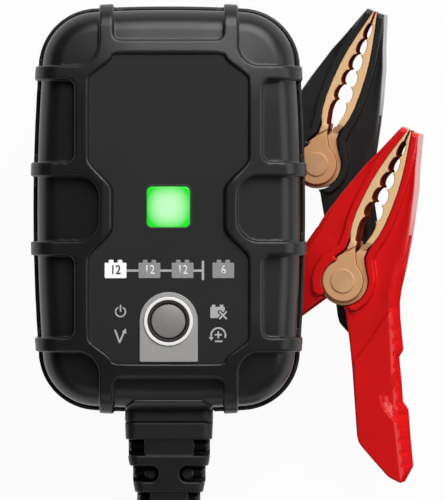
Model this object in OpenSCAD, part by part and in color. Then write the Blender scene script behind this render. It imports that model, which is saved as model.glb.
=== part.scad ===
// Plug-in car battery charger with a coiled low-voltage lead and two battery clamps.
// Origin: middle of the flat outlet face on its back. +Z points out of the front, +Y to the top.
// It lies on its blades on a table, and the clamps lie half under the housing.

/* [Housing] */
// Half of the housing's width, without its ribs
case_hw = 29.4; // [27.5:0.1:30]
// Half of the housing's height, without its ribs
case_hh = 43.9; // [42:0.1:45]
// Corner radius of the housing, seen from the front
case_r = 12.8; // [10:0.1:14]
// Height of the housing's back above the outlet face
case_back = 7.0; // [6.8:0.1:9]
// Height of the joint between the two shells
seam_z = 21.0; // [19:0.1:23]
// Height of the crown of the raised window frame
frame_z = 38.8; // [38:0.1:40]
// Wall thickness of both shells
wall = 2.0; // [1.6:0.1:2.4]
// Width of each bumper rib
rib_w = 3.0; // [2.4:0.1:3.4]
// How far the ribs stand out past the rear shell
rib_out = 0.4; // [0.3:0.1:0.8]

/* [Face] */
// Half of the window's width
window_hw = 17.4; // [16.5:0.1:18]
// Half of the window's width at its waist
waist_hw = 12.1; // [11.5:0.1:13]
// Half of the window's height
window_hh = 33.3; // [32:0.1:34]
// Width of the raised frame round the window
frame_w = 2.6; // [2:0.1:2.8]
// Depth of the face plate under the frame
plate_down = 1.4; // [1:0.1:2]
// Radius of the round button
button_r = 3.65; // [3.2:0.05:4]
// Travel of the button
button_travel = 0.6; // [0.3:0.05:0.8]
// Height of the button's centre above the middle of the face
button_y = -23.95; // [-25:0.05:-22]

/* [Plug] */
// Length of the mains blades
blade_len = 17.5; // [15:0.1:18]
// Width of the mains blades
blade_w = 6.35; // [6:0.05:6.7]
// Thickness of the mains blades
blade_t = 1.5; // [1.4:0.05:1.6]
// Distance between the middles of the two blades
blade_pitch = 12.7; // [12.6:0.05:12.8]
// Distance of the blades above the middle of the housing
blade_y = 14.0; // [13.5:0.5:15]

/* [Clamps] */
// Thickness of a clamp's moulded halves
clamp_t = 8.6; // [8:0.1:8.8]
// Radius of a clamp's rivet shank
rivet_r = 2.0; // [1.8:0.05:2.2]
// Running clearance of the moving jaw on the rivet, on the radius
rivet_gap = 0.05; // [0.02:0.01:0.1]
// Radius of the moving jaw's pivot lobe
lobe_r = 5.4; // [5:0.1:5.6]
// Thickness of the jaw's sheet at the pivot
sheet_t = 1.0; // [0.8:0.1:1.2]

/* [Lead] */
// Diameter of the low-voltage lead
lead_d = 5.0; // [4.8:0.1:5.2]
// Diameter of each single clamp lead
single_d = 3.4; // [3:0.1:3.6]
// Radius of the coil's outer turns, at the middle of the lead
coil_outer = 30.5; // [30:0.5:32]
// Number of layers of two turns in the coil
coil_layers = 4; // [3:1:4]

/* [Hidden] */
$fn = 64;
eps = 0.02;                       // overlap that lets cuts run past a face
table_z = -blade_len;             // the surface that the charger lies on
shell_gap = 0.4;                  // depth of the open channel between the shells
rim_in = 1.25;                    // the front shell's rim stands this far inside the rear shell's
pillow_z = 35.4;                  // height of the pocket floors of the front shell
shoulder_z = 30.5;                // height at which the front shell's corners start to roll over
side_rib_y = [29.0, 8.45, -8.45, -29.0];
end_rib_x = [13.3, -13.3];
plate_z = frame_z - plate_down;   // top of the face plate
plate_t = 1.6;
board_t = 1.6;
display_z = plate_z - plate_t - 3.4;   // top of the display board
power_z = 13.0;                   // top of the power board
floor_z = case_back + wall;       // inner floor of the rear shell
stand_off = [[-8.5, -27.5], [8.5, -27.5], [0, 25.5]];   // feet of the display board
screw_xy = [[21.6, 30.8], [-21.6, 30.8], [21.6, -30.8], [-21.6, -30.8]];
side_bow = 420;                   // radius of the long sides' bow
end_bow = 286;                    // radius of the ends' bow
corner_proud = 0.02;              // how far a corner's arc crosses the bows, so that they meet cleanly
steps = 10;                       // segments in each S-curve of the window

// ---------- outlines seen from the front ----------

// Where circles with radii p and q round [a, 0] and [0, b] meet, in the corner that faces away from both.
function meet(a, b, p, q) =
    let (gap = norm([a, b]), along = (p * p - q * q + gap * gap) / (2 * gap), across = sqrt(p * p - along * along))
    [a - (along * a + across * b) / gap, (along * b - across * a) / gap];

// Centre of a corner's arc, from which it runs smoothly into both bows.
corner_at = meet(case_hw - side_bow, case_hh - end_bow, side_bow - case_r, end_bow - case_r)
    + [corner_proud, corner_proud];

// Housing outline with slightly barrelled sides, grown or shrunk by d.
module case_outline(d = 0) {
    hw = case_hw + d;
    hh = case_hh + d;
    intersection() {
        union() {
            square([2 * corner_at[0], 2 * hh], center = true);
            square([2 * hw, 2 * corner_at[1]], center = true);
            for (x = [-1, 1], y = [-1, 1])
                translate([x * corner_at[0], y * corner_at[1]]) circle(r = case_r + d);
        }
        translate([hw - side_bow, 0]) circle(r = side_bow, $fn = 720);
        translate([side_bow - hw, 0]) circle(r = side_bow, $fn = 720);
        translate([0, hh - end_bow]) circle(r = end_bow, $fn = 360);
        translate([0, end_bow - hh]) circle(r = end_bow, $fn = 360);
    }
}

// Smooth step from 0 to 1.
function ease(t) = t * t * (3 - 2 * t);

// Points of an S-curve from a to b, eased along y.
function s_curve(a, b, n = steps) =
    [for (i = [0 : n]) [a[0] + (b[0] - a[0]) * ease(i / n), a[1] + (b[1] - a[1]) * i / n]];

// Right half of the waisted window outline, from the top middle to the bottom middle.
function window_half(g) = concat(
    [[0, window_hh + g]],
    [[11.2 + g * 0.4, window_hh + g]],
    s_curve([12.2 + g * 0.5, window_hh - 0.4 + g], [window_hw + g, window_hh - 5.8 + g * 0.4], 6),
    s_curve([window_hw + g, 10.9 + g * 0.3], [waist_hw + g, 3.8 + g * 0.3]),
    s_curve([waist_hw + g, -3.8 - g * 0.3], [window_hw + g, -10.9 - g * 0.3]),
    s_curve([window_hw + g, -window_hh + 5.8 - g * 0.4], [12.2 + g * 0.5, -window_hh + 0.4 - g], 6),
    [[11.2 + g * 0.4, -window_hh - g]],
    [[0, -window_hh - g]]
);

module window_outline(g = 0) {
    half = window_half(g);
    polygon(concat(half, [for (i = [len(half) - 2 : -1 : 1]) [-half[i][0], half[i][1]]]));
}

// ---------- housing ----------

// One bumper bar that wraps the housing's side, in the plane across the bar.
module rib_profile(half, low, high) {
    out = half + rib_out;
    if (high > seam_z)
        polygon([[half - 11, low], [out - 0.3, low], [out, low + 0.4], [out, 31.5], [out - 1.0, 35.4],
                 [out - 3.6, high - 0.6], [out - 5.5, high], [half - 11, high]]);
    else
        polygon([[half - 5, low], [out - 2.6, low], [out, low + 3.4], [out, high], [half - 5, high]]);
}

module ribs(low, high) {
    for (y = side_rib_y, s = [0, 1])
        mirror([s, 0, 0]) translate([0, y + rib_w / 2, 0]) rotate([90, 0, 0])
            linear_extrude(rib_w) rib_profile(case_hw - 0.2 - y * y / (2 * side_bow), low, high);
    for (x = end_rib_x, s = [0, 1])
        mirror([0, s, 0]) translate([x - rib_w / 2, 0, 0]) rotate([90, 0, 90])
            linear_extrude(rib_w) rib_profile(case_hh - 0.2 - x * x / (2 * end_bow), low, high);
}

// Everything that both shells leave open for the lead's boot.
module boot_opening() {
    for (cut = [[16.4, 14.4, -38.6], [19.2, 16.2, -41.5]])
        translate([-cut[0] / 2, -case_hh - 3, seam_z - cut[1] / 2]) cube([cut[0], case_hh + 3 + cut[2], cut[1]]);
}

module rear_shell() {
    color("#1b1b1d") difference() {
        union() {
            translate([0, 0, case_back]) linear_extrude(1.2) case_outline(-3.2);
            translate([0, 0, case_back + 1.2]) linear_extrude(2.0) case_outline(-1.2);
            translate([0, 0, case_back + 3.2]) linear_extrude(seam_z - case_back - 3.2) case_outline();
            ribs(case_back + 0.4, seam_z);
        }
        translate([0, 0, floor_z]) linear_extrude(2.2) case_outline(-wall - 1.6);
        translate([0, 0, floor_z + 2]) linear_extrude(30) case_outline(-wall);
        translate([0, 0, seam_z - 1.4]) linear_extrude(3) case_outline(-1.1);
        boot_opening();
        translate([0, blade_y, case_back - eps]) plug_hole(wall + 3.3);
        for (p = screw_xy) translate([p[0], p[1], case_back - eps]) {
            cylinder(r = 1.6, h = 4);
            cylinder(r = 2.9, h = 1.3);
        }
    }
    color("#1b1b1d") for (x = [-1, 1], y = [-1, 1])
        translate([x * 15, y * 30, floor_z - eps]) cylinder(r = 2.2, h = power_z - board_t - floor_z + eps);
}

module plug_hole(h) {
    translate([-11, -8, 0]) cube([22, 16, h]);
}

module front_shell() {
    color("#202022") difference() {
        union() {
            hull() {
                translate([0, 0, seam_z + shell_gap]) linear_extrude(shoulder_z - seam_z)
                    case_outline(-rim_in, $fn = 48);
                translate([0, 0, pillow_z - 1.4]) linear_extrude(eps) case_outline(-rim_in - 1.6, $fn = 48);
                translate([0, 0, pillow_z - eps]) linear_extrude(eps) case_outline(-rim_in - 4.6, $fn = 48);
            }
            translate([0, 0, 30]) linear_extrude(frame_z - 30) window_outline(frame_w);
            ribs(seam_z, frame_z - 0.6);
        }
        translate([0, 0, seam_z - 1]) linear_extrude(1 + shell_gap) case_outline(-1.1);
        translate([0, 0, seam_z - 1]) linear_extrude(shoulder_z - seam_z - 0.5) case_outline(-rim_in - wall);
        translate([0, 0, seam_z]) linear_extrude(pillow_z - seam_z - 2) case_outline(-rim_in - wall - 3.4);
        translate([0, 0, plate_z - plate_t]) linear_extrude(8) window_outline();
        translate([0, 0, pillow_z - 4]) linear_extrude(8) window_outline(-1.5);
        boot_opening();
    }
    color("#202022") for (p = screw_xy) translate([p[0], p[1], floor_z + 0.1]) screw_post(pillow_z - 1 - floor_z);
}

// Post that takes a housing screw.
module screw_post(h) {
    difference() {
        cylinder(r = 2.6, h = h);
        translate([0, 0, -eps]) cylinder(r = 1.4, h = 8);
    }
}

module shell_gasket() {
    color("#0c0c0d") difference() {
        translate([0, 0, seam_z - 1.4]) linear_extrude(1.8) case_outline(-1.2);
        translate([0, 0, seam_z - 2]) linear_extrude(4) case_outline(-3.1);
        boot_opening();
    }
}

// ---------- face ----------

module face_plate() {
    color("#2b2b2d") difference() {
        translate([0, 0, plate_z - plate_t]) linear_extrude(plate_t) window_outline(-0.05);
        translate([0, 0.4, plate_z - 3]) linear_extrude(6) lens_outline(0);
        translate([0, button_y, plate_z - 3]) cylinder(r = 4.45, h = 6);
        for (x = light_x) translate([x - 1.6, -14.4, plate_z - 3]) cube([3.2, 2.2, 6]);
    }
    color("#2b2b2d") for (p = stand_off)
        translate([p[0], p[1], display_z]) cylinder(r = 1.6, h = plate_z - plate_t - display_z + eps);
}

light_x = [-11.25, -4.05, 3.05, 11.65];   // middles of the four battery lights

module lens_outline(g) {
    w = 9.2 + 2 * g;
    h = 8.7 + 2 * g;
    r = 1.1;
    square([w - 2 * r, h], center = true);
    square([w, h - 2 * r], center = true);
    for (x = [-1, 1], y = [-1, 1]) translate([x * (w / 2 - r), y * (h / 2 - r)]) circle(r = r);
}

module status_lens() {
    color("#3fe04a") translate([0, 0.4, 0]) {
        translate([0, 0, plate_z - 1.6]) linear_extrude(1.7) lens_outline(-0.05);
        translate([0, 0, plate_z - 2.6]) linear_extrude(1.0) lens_outline(0.8);
    }
}

module indicator_lights() {
    color("#d8d8d8") for (x = light_x) translate([x - 1.55, -14.35, plate_z - 1.6]) cube([3.1, 2.1, 1.65]);
}

// Arch-shaped trim that stands on the face round the button.
module button_surround() {
    arch_hw = 6.3;
    foot_y = -32.6;
    color("#6d6e71") difference() {
        translate([0, 0, plate_z]) linear_extrude(0.5) {
            translate([0, button_y]) circle(r = arch_hw);
            translate([-arch_hw, foot_y]) square([2 * arch_hw, button_y - foot_y]);
        }
        translate([0, button_y, plate_z - 1]) cylinder(r = 5.25, h = 3);
    }
}

module button_ring() {
    color("#e4e4e4") translate([0, button_y, plate_z]) difference() {
        cylinder(r = 5.2, h = 0.9);
        translate([0, 0, -1]) cylinder(r = 4.45, h = 3);
    }
}

module mode_button() {
    cap_h = 0.7;
    color("#8a8b8e") translate([0, button_y, plate_z - plate_t - 1.0]) {
        cylinder(r = button_r, h = plate_t + 1.0 + cap_h - 0.15);
        translate([0, 0, plate_t + 1.0 + cap_h - 0.15]) cylinder(r = button_r - 0.3, h = 0.15);
        translate([0, 0, -0.5]) cylinder(r = button_r + 0.9, h = 0.6);
        translate([0, 0, -0.5 - stem_len]) cylinder(r = 1.2, h = stem_len + 0.1);
    }
}

switch_h = 0.7;
stem_len = 0.65;

module tact_switch() {
    switch_top = plate_z - plate_t - 1.5 - stem_len - button_travel - 0.1;
    color("#b8b8bb") translate([0, button_y, switch_top]) {
        translate([-3, -3, -(switch_top - display_z)]) cube([6, 6, switch_top - display_z]);
    }
}

module display_board() {
    color("#14532d") difference() {
        translate([-11, -30, display_z - board_t]) cube([22, 58, board_t]);
        for (p = stand_off) translate([p[0], p[1], display_z - 3]) cylinder(r = 0.8, h = 5);
    }
}

module status_led() {
    color("#f5f5d0") for (x = [-2.2, 2.2])
        translate([x - 1, -0.6, display_z]) cube([2, 2, 0.7]);
}

// ---------- electronics ----------

module power_board() {
    color("#1d6b3a") difference() {
        translate([-18.8, -33, power_z - board_t]) cube([37.6, 66, board_t]);
        for (x = [-15, 15], y = [-30, 30]) translate([x, y, power_z - 3]) cylinder(r = 1.2, h = 5);
    }
}

transformer_y = 12;

module transformer_core() {
    color("#3a3a3c") translate([0, transformer_y, power_z]) difference() {
        translate([-10, -9, 0]) cube([20, 18, 15]);
        for (s = [-1, 1]) translate([s * 5.6 - 2.6, -10, 3]) cube([5.2, 20, 9]);
    }
}

module transformer_winding() {
    color("#c9a227") translate([0, transformer_y, power_z + 3.1]) difference() {
        translate([-7.9, -7.9, 0]) cube([15.8, 15.8, 8.8]);
        translate([-3.1, -9, -1]) cube([6.2, 18, 11]);
    }
}

module filter_capacitors() {
    color("#24304f") for (p = [[-14.5, -12, 5], [-14.5, 26, 4.4], [14.8, 25.5, 4]])
        translate([p[0], p[1], power_z]) {
            cylinder(r = p[2], h = 13);
            cylinder(r = p[2] + 0.25, h = 1.2);
        }
}

module heat_sink() {
    fin_t = 1.2;
    color("#b4b6b9") translate([6.5, -22, power_z]) {
        cube([1.8, 24, 14]);
        for (i = [0 : 5]) translate([1.7, i * (24 - fin_t) / 5, 0]) cube([7, fin_t, 14]);
    }
}

module power_transistor() {
    color("#161617") translate([1.9, -16, power_z]) {
        cube([4.6, 10, 10]);
        translate([3.4, 0, 9.9]) cube([1.2, 10, 4]);
    }
}

module mains_fuse() {
    color("#d9d2c4") translate([-17, -24, power_z + 2.5]) rotate([0, 90, 0])
        cylinder(r = 2.5, h = 11);
}

// ---------- mains plug ----------

module plug_base() {
    color("#17171a") difference() {
        union() {
            linear_extrude(case_back) {
                translate([0, 11]) square([30, 28], center = true);
                translate([0, 11]) square([24, 34], center = true);
                for (x = [-1, 1], y = [-1, 1]) translate([x * 12, 11 + y * 14]) circle(r = 3);
            }
            translate([-10.9, blade_y - 7.9, case_back - eps]) cube([21.8, 15.8, wall + eps]);
            translate([-13, blade_y - 7.9, case_back + wall]) cube([26, 15.8, 1.2]);
        }
        for (s = [-1, 1]) translate([s * blade_pitch / 2, blade_y, -1]) blade_slot();
    }
}

module blade_slot() {
    translate([-blade_t / 2, -blade_w / 2, 0]) cube([blade_t, blade_w, 14]);
}

module mains_blades() {
    tip = 1.2;
    color("#c9c9cc") for (s = [-1, 1]) translate([s * blade_pitch / 2, blade_y, 0]) difference() {
        translate([blade_t / 2, 0, 0]) rotate([0, -90, 0]) linear_extrude(blade_t)
            polygon([[-blade_len, -blade_w / 2 + tip], [-blade_len, blade_w / 2 - tip],
                     [-blade_len + tip, blade_w / 2], [10.4, blade_w / 2], [10.4, -blade_w / 2],
                     [-blade_len + tip, -blade_w / 2]]);
        translate([-blade_t, 0, -11.7]) rotate([0, 90, 0]) cylinder(r = 1.6, h = 2 * blade_t);
    }
}

module blade_contacts() {
    color("#c98f3f") for (s = [-1, 1])
        translate([s * blade_pitch / 2 - 1.5, blade_y - 2, 10.4]) cube([3, 4, power_z - board_t - 10.4]);
}

module housing_screws() {
    color("#9a9a9d") for (p = screw_xy) translate([p[0], p[1], case_back]) {
        difference() {
            cylinder(r = 2.7, h = 1.2);
            translate([-2, -0.4, -eps]) cube([4, 0.8, 0.6]);
            translate([-0.4, -2, -eps]) cube([0.8, 4, 0.6]);
        }
        cylinder(r = 1.3, h = 9);
    }
}

// ---------- lead and its strain relief ----------

boot_y = -41.3;                   // where the boot leaves the housing
boot_len = 38.0;
boot_end = boot_y - boot_len;
boot_pitch = 5.7;                 // distance from one band of the boot to the next

module boot_band(y, w, h, t) {
    translate([0, y, seam_z]) rotate([90, 0, 0]) linear_extrude(t) {
        square([w - 3, h], center = true);
        square([w, h - 3], center = true);
        for (a = [-1, 1], b = [-1, 1]) translate([a * (w - 3) / 2, b * (h - 3) / 2]) circle(r = 1.5, $fn = 32);
    }
}

module lead_boot() {
    color("#19191b") difference() {
        union() {
            boot_band(boot_y + 2.4, 16.2, 14.0, 3);
            boot_band(boot_y - 0.3, 19, 16, 8);
            translate([0, boot_y, seam_z]) rotate([90, 0, 0]) cylinder(r1 = 6, r2 = 3.6, h = boot_len);
            for (i = [0 : 4]) {
                w = 17.2 - i * 2.2;
                boot_band(boot_y - 11.7 - i * boot_pitch, w, w * 0.82, 2.3);
                webs = i % 2 == 0 ? [[4.6, w * 0.82 - 1], [w - 0.6, 2.6]] : [[w - 1, 4]];
                for (web = webs)
                    translate([-web[0] / 2, boot_y - 11.7 - i * boot_pitch - boot_pitch, seam_z - web[1] / 2])
                        cube([web[0], boot_pitch, web[1]]);
            }
            translate([-8.7, boot_y - 12, seam_z - 2]) cube([17.4, 4, 4]);
            translate([0, boot_end + 2.4, seam_z]) rotate([90, 0, 0]) cylinder(r = 4.2, h = 2.4);
        }
        translate([0, boot_y + 12, seam_z]) rotate([90, 0, 0]) cylinder(r = lead_d / 2, h = boot_len + 13);
    }
}

module lead_grip() {
    color("#2a2a2c") translate([0, boot_y + 2.4, seam_z]) difference() {
        translate([-7, 0, -6.5]) cube([14, 3.6, 13]);
        rotate([-90, 0, 0]) translate([0, 0, -1]) cylinder(r = lead_d / 2, h = 6);
    }
}

module output_wires() {
    color("#b3232a") for (s = [-1, 1]) translate([s * 1.25, boot_y + 6.2, seam_z]) rotate([-90, 0, 0])
        cylinder(r = 0.9, h = 9);
    color("#b3232a") for (s = [-1, 1]) translate([s * 1.25, boot_y + 14.6, power_z]) cylinder(r = 0.9, h = seam_z - power_z);
}

// The lead, from the boot's end down to the table, at the middle of the lead.
lead_route = [
    [0, -79, 21], [0, -83, 20.8], [0, -90, 19], [0, -98, 15.5], [0, -106, 9], [0, -113, 1.5],
    [0, -119, -5.5], [0, -125, -11], [0, -131, -14.2], [0.6, -138, -15]
];
// From the top of the coil to the plug on the lead.
tail_route = [
    [34, -99.5, 0], [24, -99, -0.8], [13, -99, -3], [2, -99.2, -6], [-8, -100, -9], [-15.5, -101.8, -11.4],
    [-21.8, -106, -13.6], [-26, -112, -14.8], [-28, -119, -15], [-28, -123, -15]
];
// The single leads, from the socket back under the housing to the clamps.
red_route = [
    [-30.4, -157, -14.6], [-30.4, -160.5, -15.5], [-29, -166, -15.8], [-25.2, -170.4, -15.8], [-19.6, -172.6, -15.8],
    [-13.6, -171.8, -15.8], [-8.8, -168.2, -15.8], [-6, -162.6, -15.8], [-5.4, -155, -15.8], [-5.3, -143, -15.8],
    [-5.2, -130, -15.8], [-4.8, -117, -15.8], [-4, -104, -15.8], [-2.6, -91, -15.8], [-0.6, -79, -15.8],
    [1.4, -68, -15.8], [2.2, -59, -15.2], [2, -51.5, -12.6], [1.4, -45.6, -8.6], [2.2, -40.6, -4.9],
    [4.6, -37.2, -3.2], [8, -34.9, -2.2], [11, -33.2, -1.7]
];
black_route = [
    [-25.6, -157, -14.6], [-25.6, -160, -15.5], [-24, -164, -15.8], [-20.4, -166.6, -15.8], [-16, -166.8, -15.8],
    [-12.2, -164.4, -15.8], [-10.2, -160, -15.8], [-9.8, -153, -15.8], [-9.7, -142, -15.8], [-9.6, -129, -15.8],
    [-9.4, -116, -15.8], [-9, -103, -15.8], [-8.2, -90, -15.8], [-7, -77, -15.8], [-6, -66, -15.8],
    [-6, -56, -15.8], [-7.4, -47, -15.8], [-10.4, -39, -15.8], [-13.4, -31.5, -15.6], [-13.4, -24, -14.8],
    [-9.6, -18.4, -13.4], [-4.4, -14.8, -12.4], [1.2, -11.7, -11.8], [6, -8.6, -11]
];

coil_at = [34, -130];
coil_pitch = lead_d;
coil_top = table_z + coil_layers * coil_pitch;

function unit(v) = v / norm(v);
function tangent(p, i) = unit(p[min(i + 1, len(p) - 1)] - p[max(i - 1, 0)]);

// One ring of points round a route's point.
function ring(p, i, r, n) =
    let (t = tangent(p, i), side = unit(cross(t, abs(t[2]) > 0.9 ? [1, 0, 0] : [0, 0, 1])), up = cross(side, t))
    [for (k = [0 : n - 1]) p[i] + r * (cos(360 * k / n) * side + sin(360 * k / n) * up)];

// Round tube of diameter d along a route.
module tube(route, d, n = 8) {
    count = len(route);
    points = [for (i = [0 : count - 1]) each ring(route, i, d / 2, n)];
    sides = [for (i = [0 : count - 2], k = [0 : n - 1])
        [i * n + k, i * n + (k + 1) % n, (i + 1) * n + (k + 1) % n, (i + 1) * n + k]];
    start = [for (k = [n - 1 : -1 : 0]) k];
    end = [for (k = [0 : n - 1]) (count - 1) * n + k];
    polyhedron(points, concat([start], sides, [end]));
}

module charger_lead() {
    color("#151517") {
        tube(lead_route, lead_d, 10);
        tube(tail_route, lead_d, 10);
    }
}

module lead_coil() {
    color("#151517") translate([coil_at[0], coil_at[1], table_z]) rotate_extrude($fn = 72)
        translate([coil_outer - 1.5 * coil_pitch, 0])
            square([2 * coil_pitch, coil_layers * coil_pitch]);
}

module coil_tie() {
    band = 0.8;
    inner = coil_outer - 1.5 * coil_pitch;
    color("#2e2e31") translate([coil_at[0], coil_at[1], table_z]) rotate([0, 0, -43])
        rotate_extrude(angle = 16) difference() {
            translate([inner - band, 0]) square([2 * coil_pitch + 2 * band, coil_layers * coil_pitch + band]);
            translate([inner, -1]) square([2 * coil_pitch, coil_layers * coil_pitch + 1]);
        }
}

plug_at = [-28, -123];
plug_len = 17;
socket_len = 17;

// One half of the in-line connector, drawn along -Y on the table.
module connector_half(y, len, w, h) {
    translate([plug_at[0], y, table_z]) difference() {
        translate([-w / 2, -len, 0]) cube([w, len, h]);
        for (s = [-1, 1], i = [0 : 3]) translate([s * w / 2 - 0.4, -4 - i * 2.4, -1]) cube([0.8, 1.1, h + 2]);
    }
}

module lead_plug() {
    color("#1c1c1e") connector_half(plug_at[1], plug_len, 10.6, 6.8);
}

module clamp_socket() {
    color("#1c1c1e") connector_half(plug_at[1] - plug_len, socket_len, 11.6, 7.4);
}

module red_lead() {
    color("#c01820") tube(red_route, single_d);
}

module black_lead() {
    color("#1a1a1c") tube(black_route, single_d);
}

// ---------- clamps ----------

// Where each clamp's pivot stands on its underside, its lean to the right and its two tilts.
red_pivot = [39.5, -15.5, -0.3];
red_turn = [24.7, 10, 5];
black_pivot = [33.5, 10.5, -10.6];
black_turn = [21.7, 7, 5];

module place_clamp(pivot, turn) {
    translate(pivot) rotate([0, 0, -turn[0]]) rotate([turn[2], -turn[1], 0]) children();
}

// Outer edge of a clamp's right half, from the jaw's tip round the handle to the pivot.
cover_edge = [
    [0.45, 36.0], [2.0, 36.2], [4.4, 29.2], [6.1, 24.9], [8.3, 17.6], [9.4, 13.3], [10.6, 8.0], [11.6, 3.0],
    [12.4, 0.3], [13.8, -2.6], [17.4, -8.9], [17.2, -10.7], [20.0, -15.6], [22.0, -19.3], [23.8, -20.4],
    [26.8, -25.9], [29.9, -31.3], [29.6, -35.3], [26.2, -35.2], [17.2, -31.0], [16.3, -29.8], [9.4, -17.0],
    [5.6, -10.4], [2.9, -5.7]
];
// Outer edge of the bronze jaw, where the cover holds it.
jaw_edge = [
    [0.45, 36.0], [1.4, 32.0], [2.1, 29.0], [2.75, 25.6], [3.15, 22.5], [3.4, 18.8], [3.45, 14.8], [3.2, 12.0],
    [2.8, 10.3], [1.9, 8.2]
];
// Teeth: height of each cusp on the jaw and half of the gap there.
cusps = [[0.15, 36.0], [0.2, 33.4], [0.35, 29.7], [0.55, 26.0], [0.9, 22.2], [1.2, 18.6], [1.3, 14.9], [1.2, 11.4]];
notch_depth = 0.85;
notch_steps = 5;

// Round notches between the cusps, from the pivot end towards the tip.
function notch(a, b) = [for (i = [0 : notch_steps - 1]) let (t = i / notch_steps)
    [a[0] + (b[0] - a[0]) * t + notch_depth * sqrt(max(0, 1 - pow(2 * t - 1, 2))), a[1] + (b[1] - a[1]) * t]];
function teeth() = concat(
    [[0.5, 7.6]],
    [for (i = [len(cusps) - 1 : -1 : 2]) each notch(cusps[i], cusps[i - 1])],
    [cusps[1], cusps[0]]
);

module jaw_blade_outline() {
    polygon(concat(jaw_edge, teeth()));
}

module cover_outline() {
    neck = [[0.5, -4.0], [0.5, 3.0], [4.2, 4.0], [2.75, 6.6], [2.65, 9.0]];   // clear of the jaw's lobes
    polygon(concat(cover_edge, neck, [for (i = [len(jaw_edge) - 2 : -1 : 1]) jaw_edge[i]]));
}

// Hollow of the handle, open towards the other handle.
module handle_hollow() {
    polygon([[3.0, 2.4], [9.8, 0.6], [12.2, -3.4], [15.2, -9.4], [18.4, -15.6], [24.6, -25.4], [26.2, -33.4],
             [17.2, -29.6], [8.0, -18.0], [2.0, -7.0]]);
}

// Moulded half of a clamp, drawn as the right half, with or without the hole for its lead.
module cover_half(lead_hole = false) {
    side = 1.7;                   // thickness of the handle's faces
    difference() {
        linear_extrude(clamp_t) cover_outline();
        translate([0, 0, side]) linear_extrude(clamp_t - 2 * side) handle_hollow();
        translate([0, 0, -1]) cylinder(r = lobe_r + 0.45, h = clamp_t + 2);
        if (lead_hole) handle_axis() cylinder(r = single_d / 2 + 0.1, h = 10);
    }
}

// From the end of the right handle out along the handle, starting at the crimp.
module handle_axis() {
    translate([18.4, -27.6, clamp_t / 2]) rotate([90, 0, 36]) children();
}

// Bronze jaw with a pivot lobe near each face, z being the underside of the lower lobe.
module jaw_half(z, r, hole) {
    difference() {
        union() {
            linear_extrude(clamp_t) jaw_blade_outline();
            for (low = [z, clamp_t - z - sheet_t]) translate([0, 0, low]) linear_extrude(sheet_t) {
                circle(r = r);
                polygon([[0.6, 9.2], [2.2, 9.0], [2.3, 6.6], [3.6, 4.2], [2, 0], [-1.2, 4.6], [0.3, 7.4]]);
            }
        }
        translate([0, 0, -1]) cylinder(r = hole, h = clamp_t + 2);
    }
}

module rivet() {
    head_r = 2.9;
    head_h = 0.45;
    cylinder(r = rivet_r, h = clamp_t);
    translate([0, 0, -head_h]) cylinder(r = head_r, h = head_h);
    translate([0, 0, clamp_t]) cylinder(r = head_r, h = head_h);
}

wire_r = 0.45;
spring_r = 3.0;
spring_low = 2.4;
leg_angle = 27;                   // slope of the spring's legs

// Coil of the torsion spring and the leg that presses on the fixed half.
module spring_coil() {
    turns = 5;
    pitch = wire_r * 1.7;
    rotate_extrude() for (i = [0 : turns - 1])
        translate([spring_r, spring_low + wire_r + i * pitch]) circle(r = wire_r, $fn = 16);
    rotate([0, 0, leg_angle]) translate([0, spring_r, spring_low + wire_r]) rotate([0, -90, 0])
        cylinder(r = wire_r, h = 10.2, $fn = 16);
}

// Leg of the spring that presses on the moving half.
module spring_leg() {
    rotate([0, 0, -leg_angle]) translate([spring_r + 3 * wire_r, 0.4, spring_low + 4 * wire_r])
        rotate([0, 90, 0]) cylinder(r = wire_r, h = 9.4, $fn = 16);
}

// Barrel and tongue on the end of the clamp's lead, drawn in the right handle.
module crimp() {
    handle_axis() {
        translate([0, 0, -8]) cylinder(r = 2.1, h = 8, $fn = 32);
        translate([-2, -0.5, -15]) cube([4, 1, 7.1]);
    }
}

red = "#c8141c";
black = "#242426";
bronze = "#d9ae7c";

module red_fixed_cover() { color(red) place_clamp(red_pivot, red_turn) mirror([1, 0, 0]) cover_half(true); }
module red_moving_cover() { color(red) place_clamp(red_pivot, red_turn) cover_half(); }
module red_fixed_jaw() {
    color(bronze) place_clamp(red_pivot, red_turn) mirror([1, 0, 0]) jaw_half(0, 4.5, rivet_r);
}
module red_moving_jaw() {
    color(bronze) place_clamp(red_pivot, red_turn) jaw_half(1.2, lobe_r, rivet_r + rivet_gap);
}
module red_rivet() { color("#c79a6a") place_clamp(red_pivot, red_turn) rivet(); }
module red_spring() { color("#8d8f94") place_clamp(red_pivot, red_turn) spring_coil(); }
module red_spring_leg() { color("#8d8f94") place_clamp(red_pivot, red_turn) spring_leg(); }
module red_crimp() { color("#b9a06a") place_clamp(red_pivot, red_turn) mirror([1, 0, 0]) crimp(); }
module black_fixed_cover() { color(black) place_clamp(black_pivot, black_turn) mirror([1, 0, 0]) cover_half(true); }
module black_moving_cover() { color(black) place_clamp(black_pivot, black_turn) cover_half(); }
module black_fixed_jaw() {
    color(bronze) place_clamp(black_pivot, black_turn) mirror([1, 0, 0]) jaw_half(0, 4.5, rivet_r);
}
module black_moving_jaw() {
    color(bronze) place_clamp(black_pivot, black_turn) jaw_half(1.2, lobe_r, rivet_r + rivet_gap);
}
module black_rivet() { color("#c79a6a") place_clamp(black_pivot, black_turn) rivet(); }
module black_spring() { color("#8d8f94") place_clamp(black_pivot, black_turn) spring_coil(); }
module black_spring_leg() { color("#8d8f94") place_clamp(black_pivot, black_turn) spring_leg(); }
module black_crimp() { color("#b9a06a") place_clamp(black_pivot, black_turn) mirror([1, 0, 0]) crimp(); }

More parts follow.
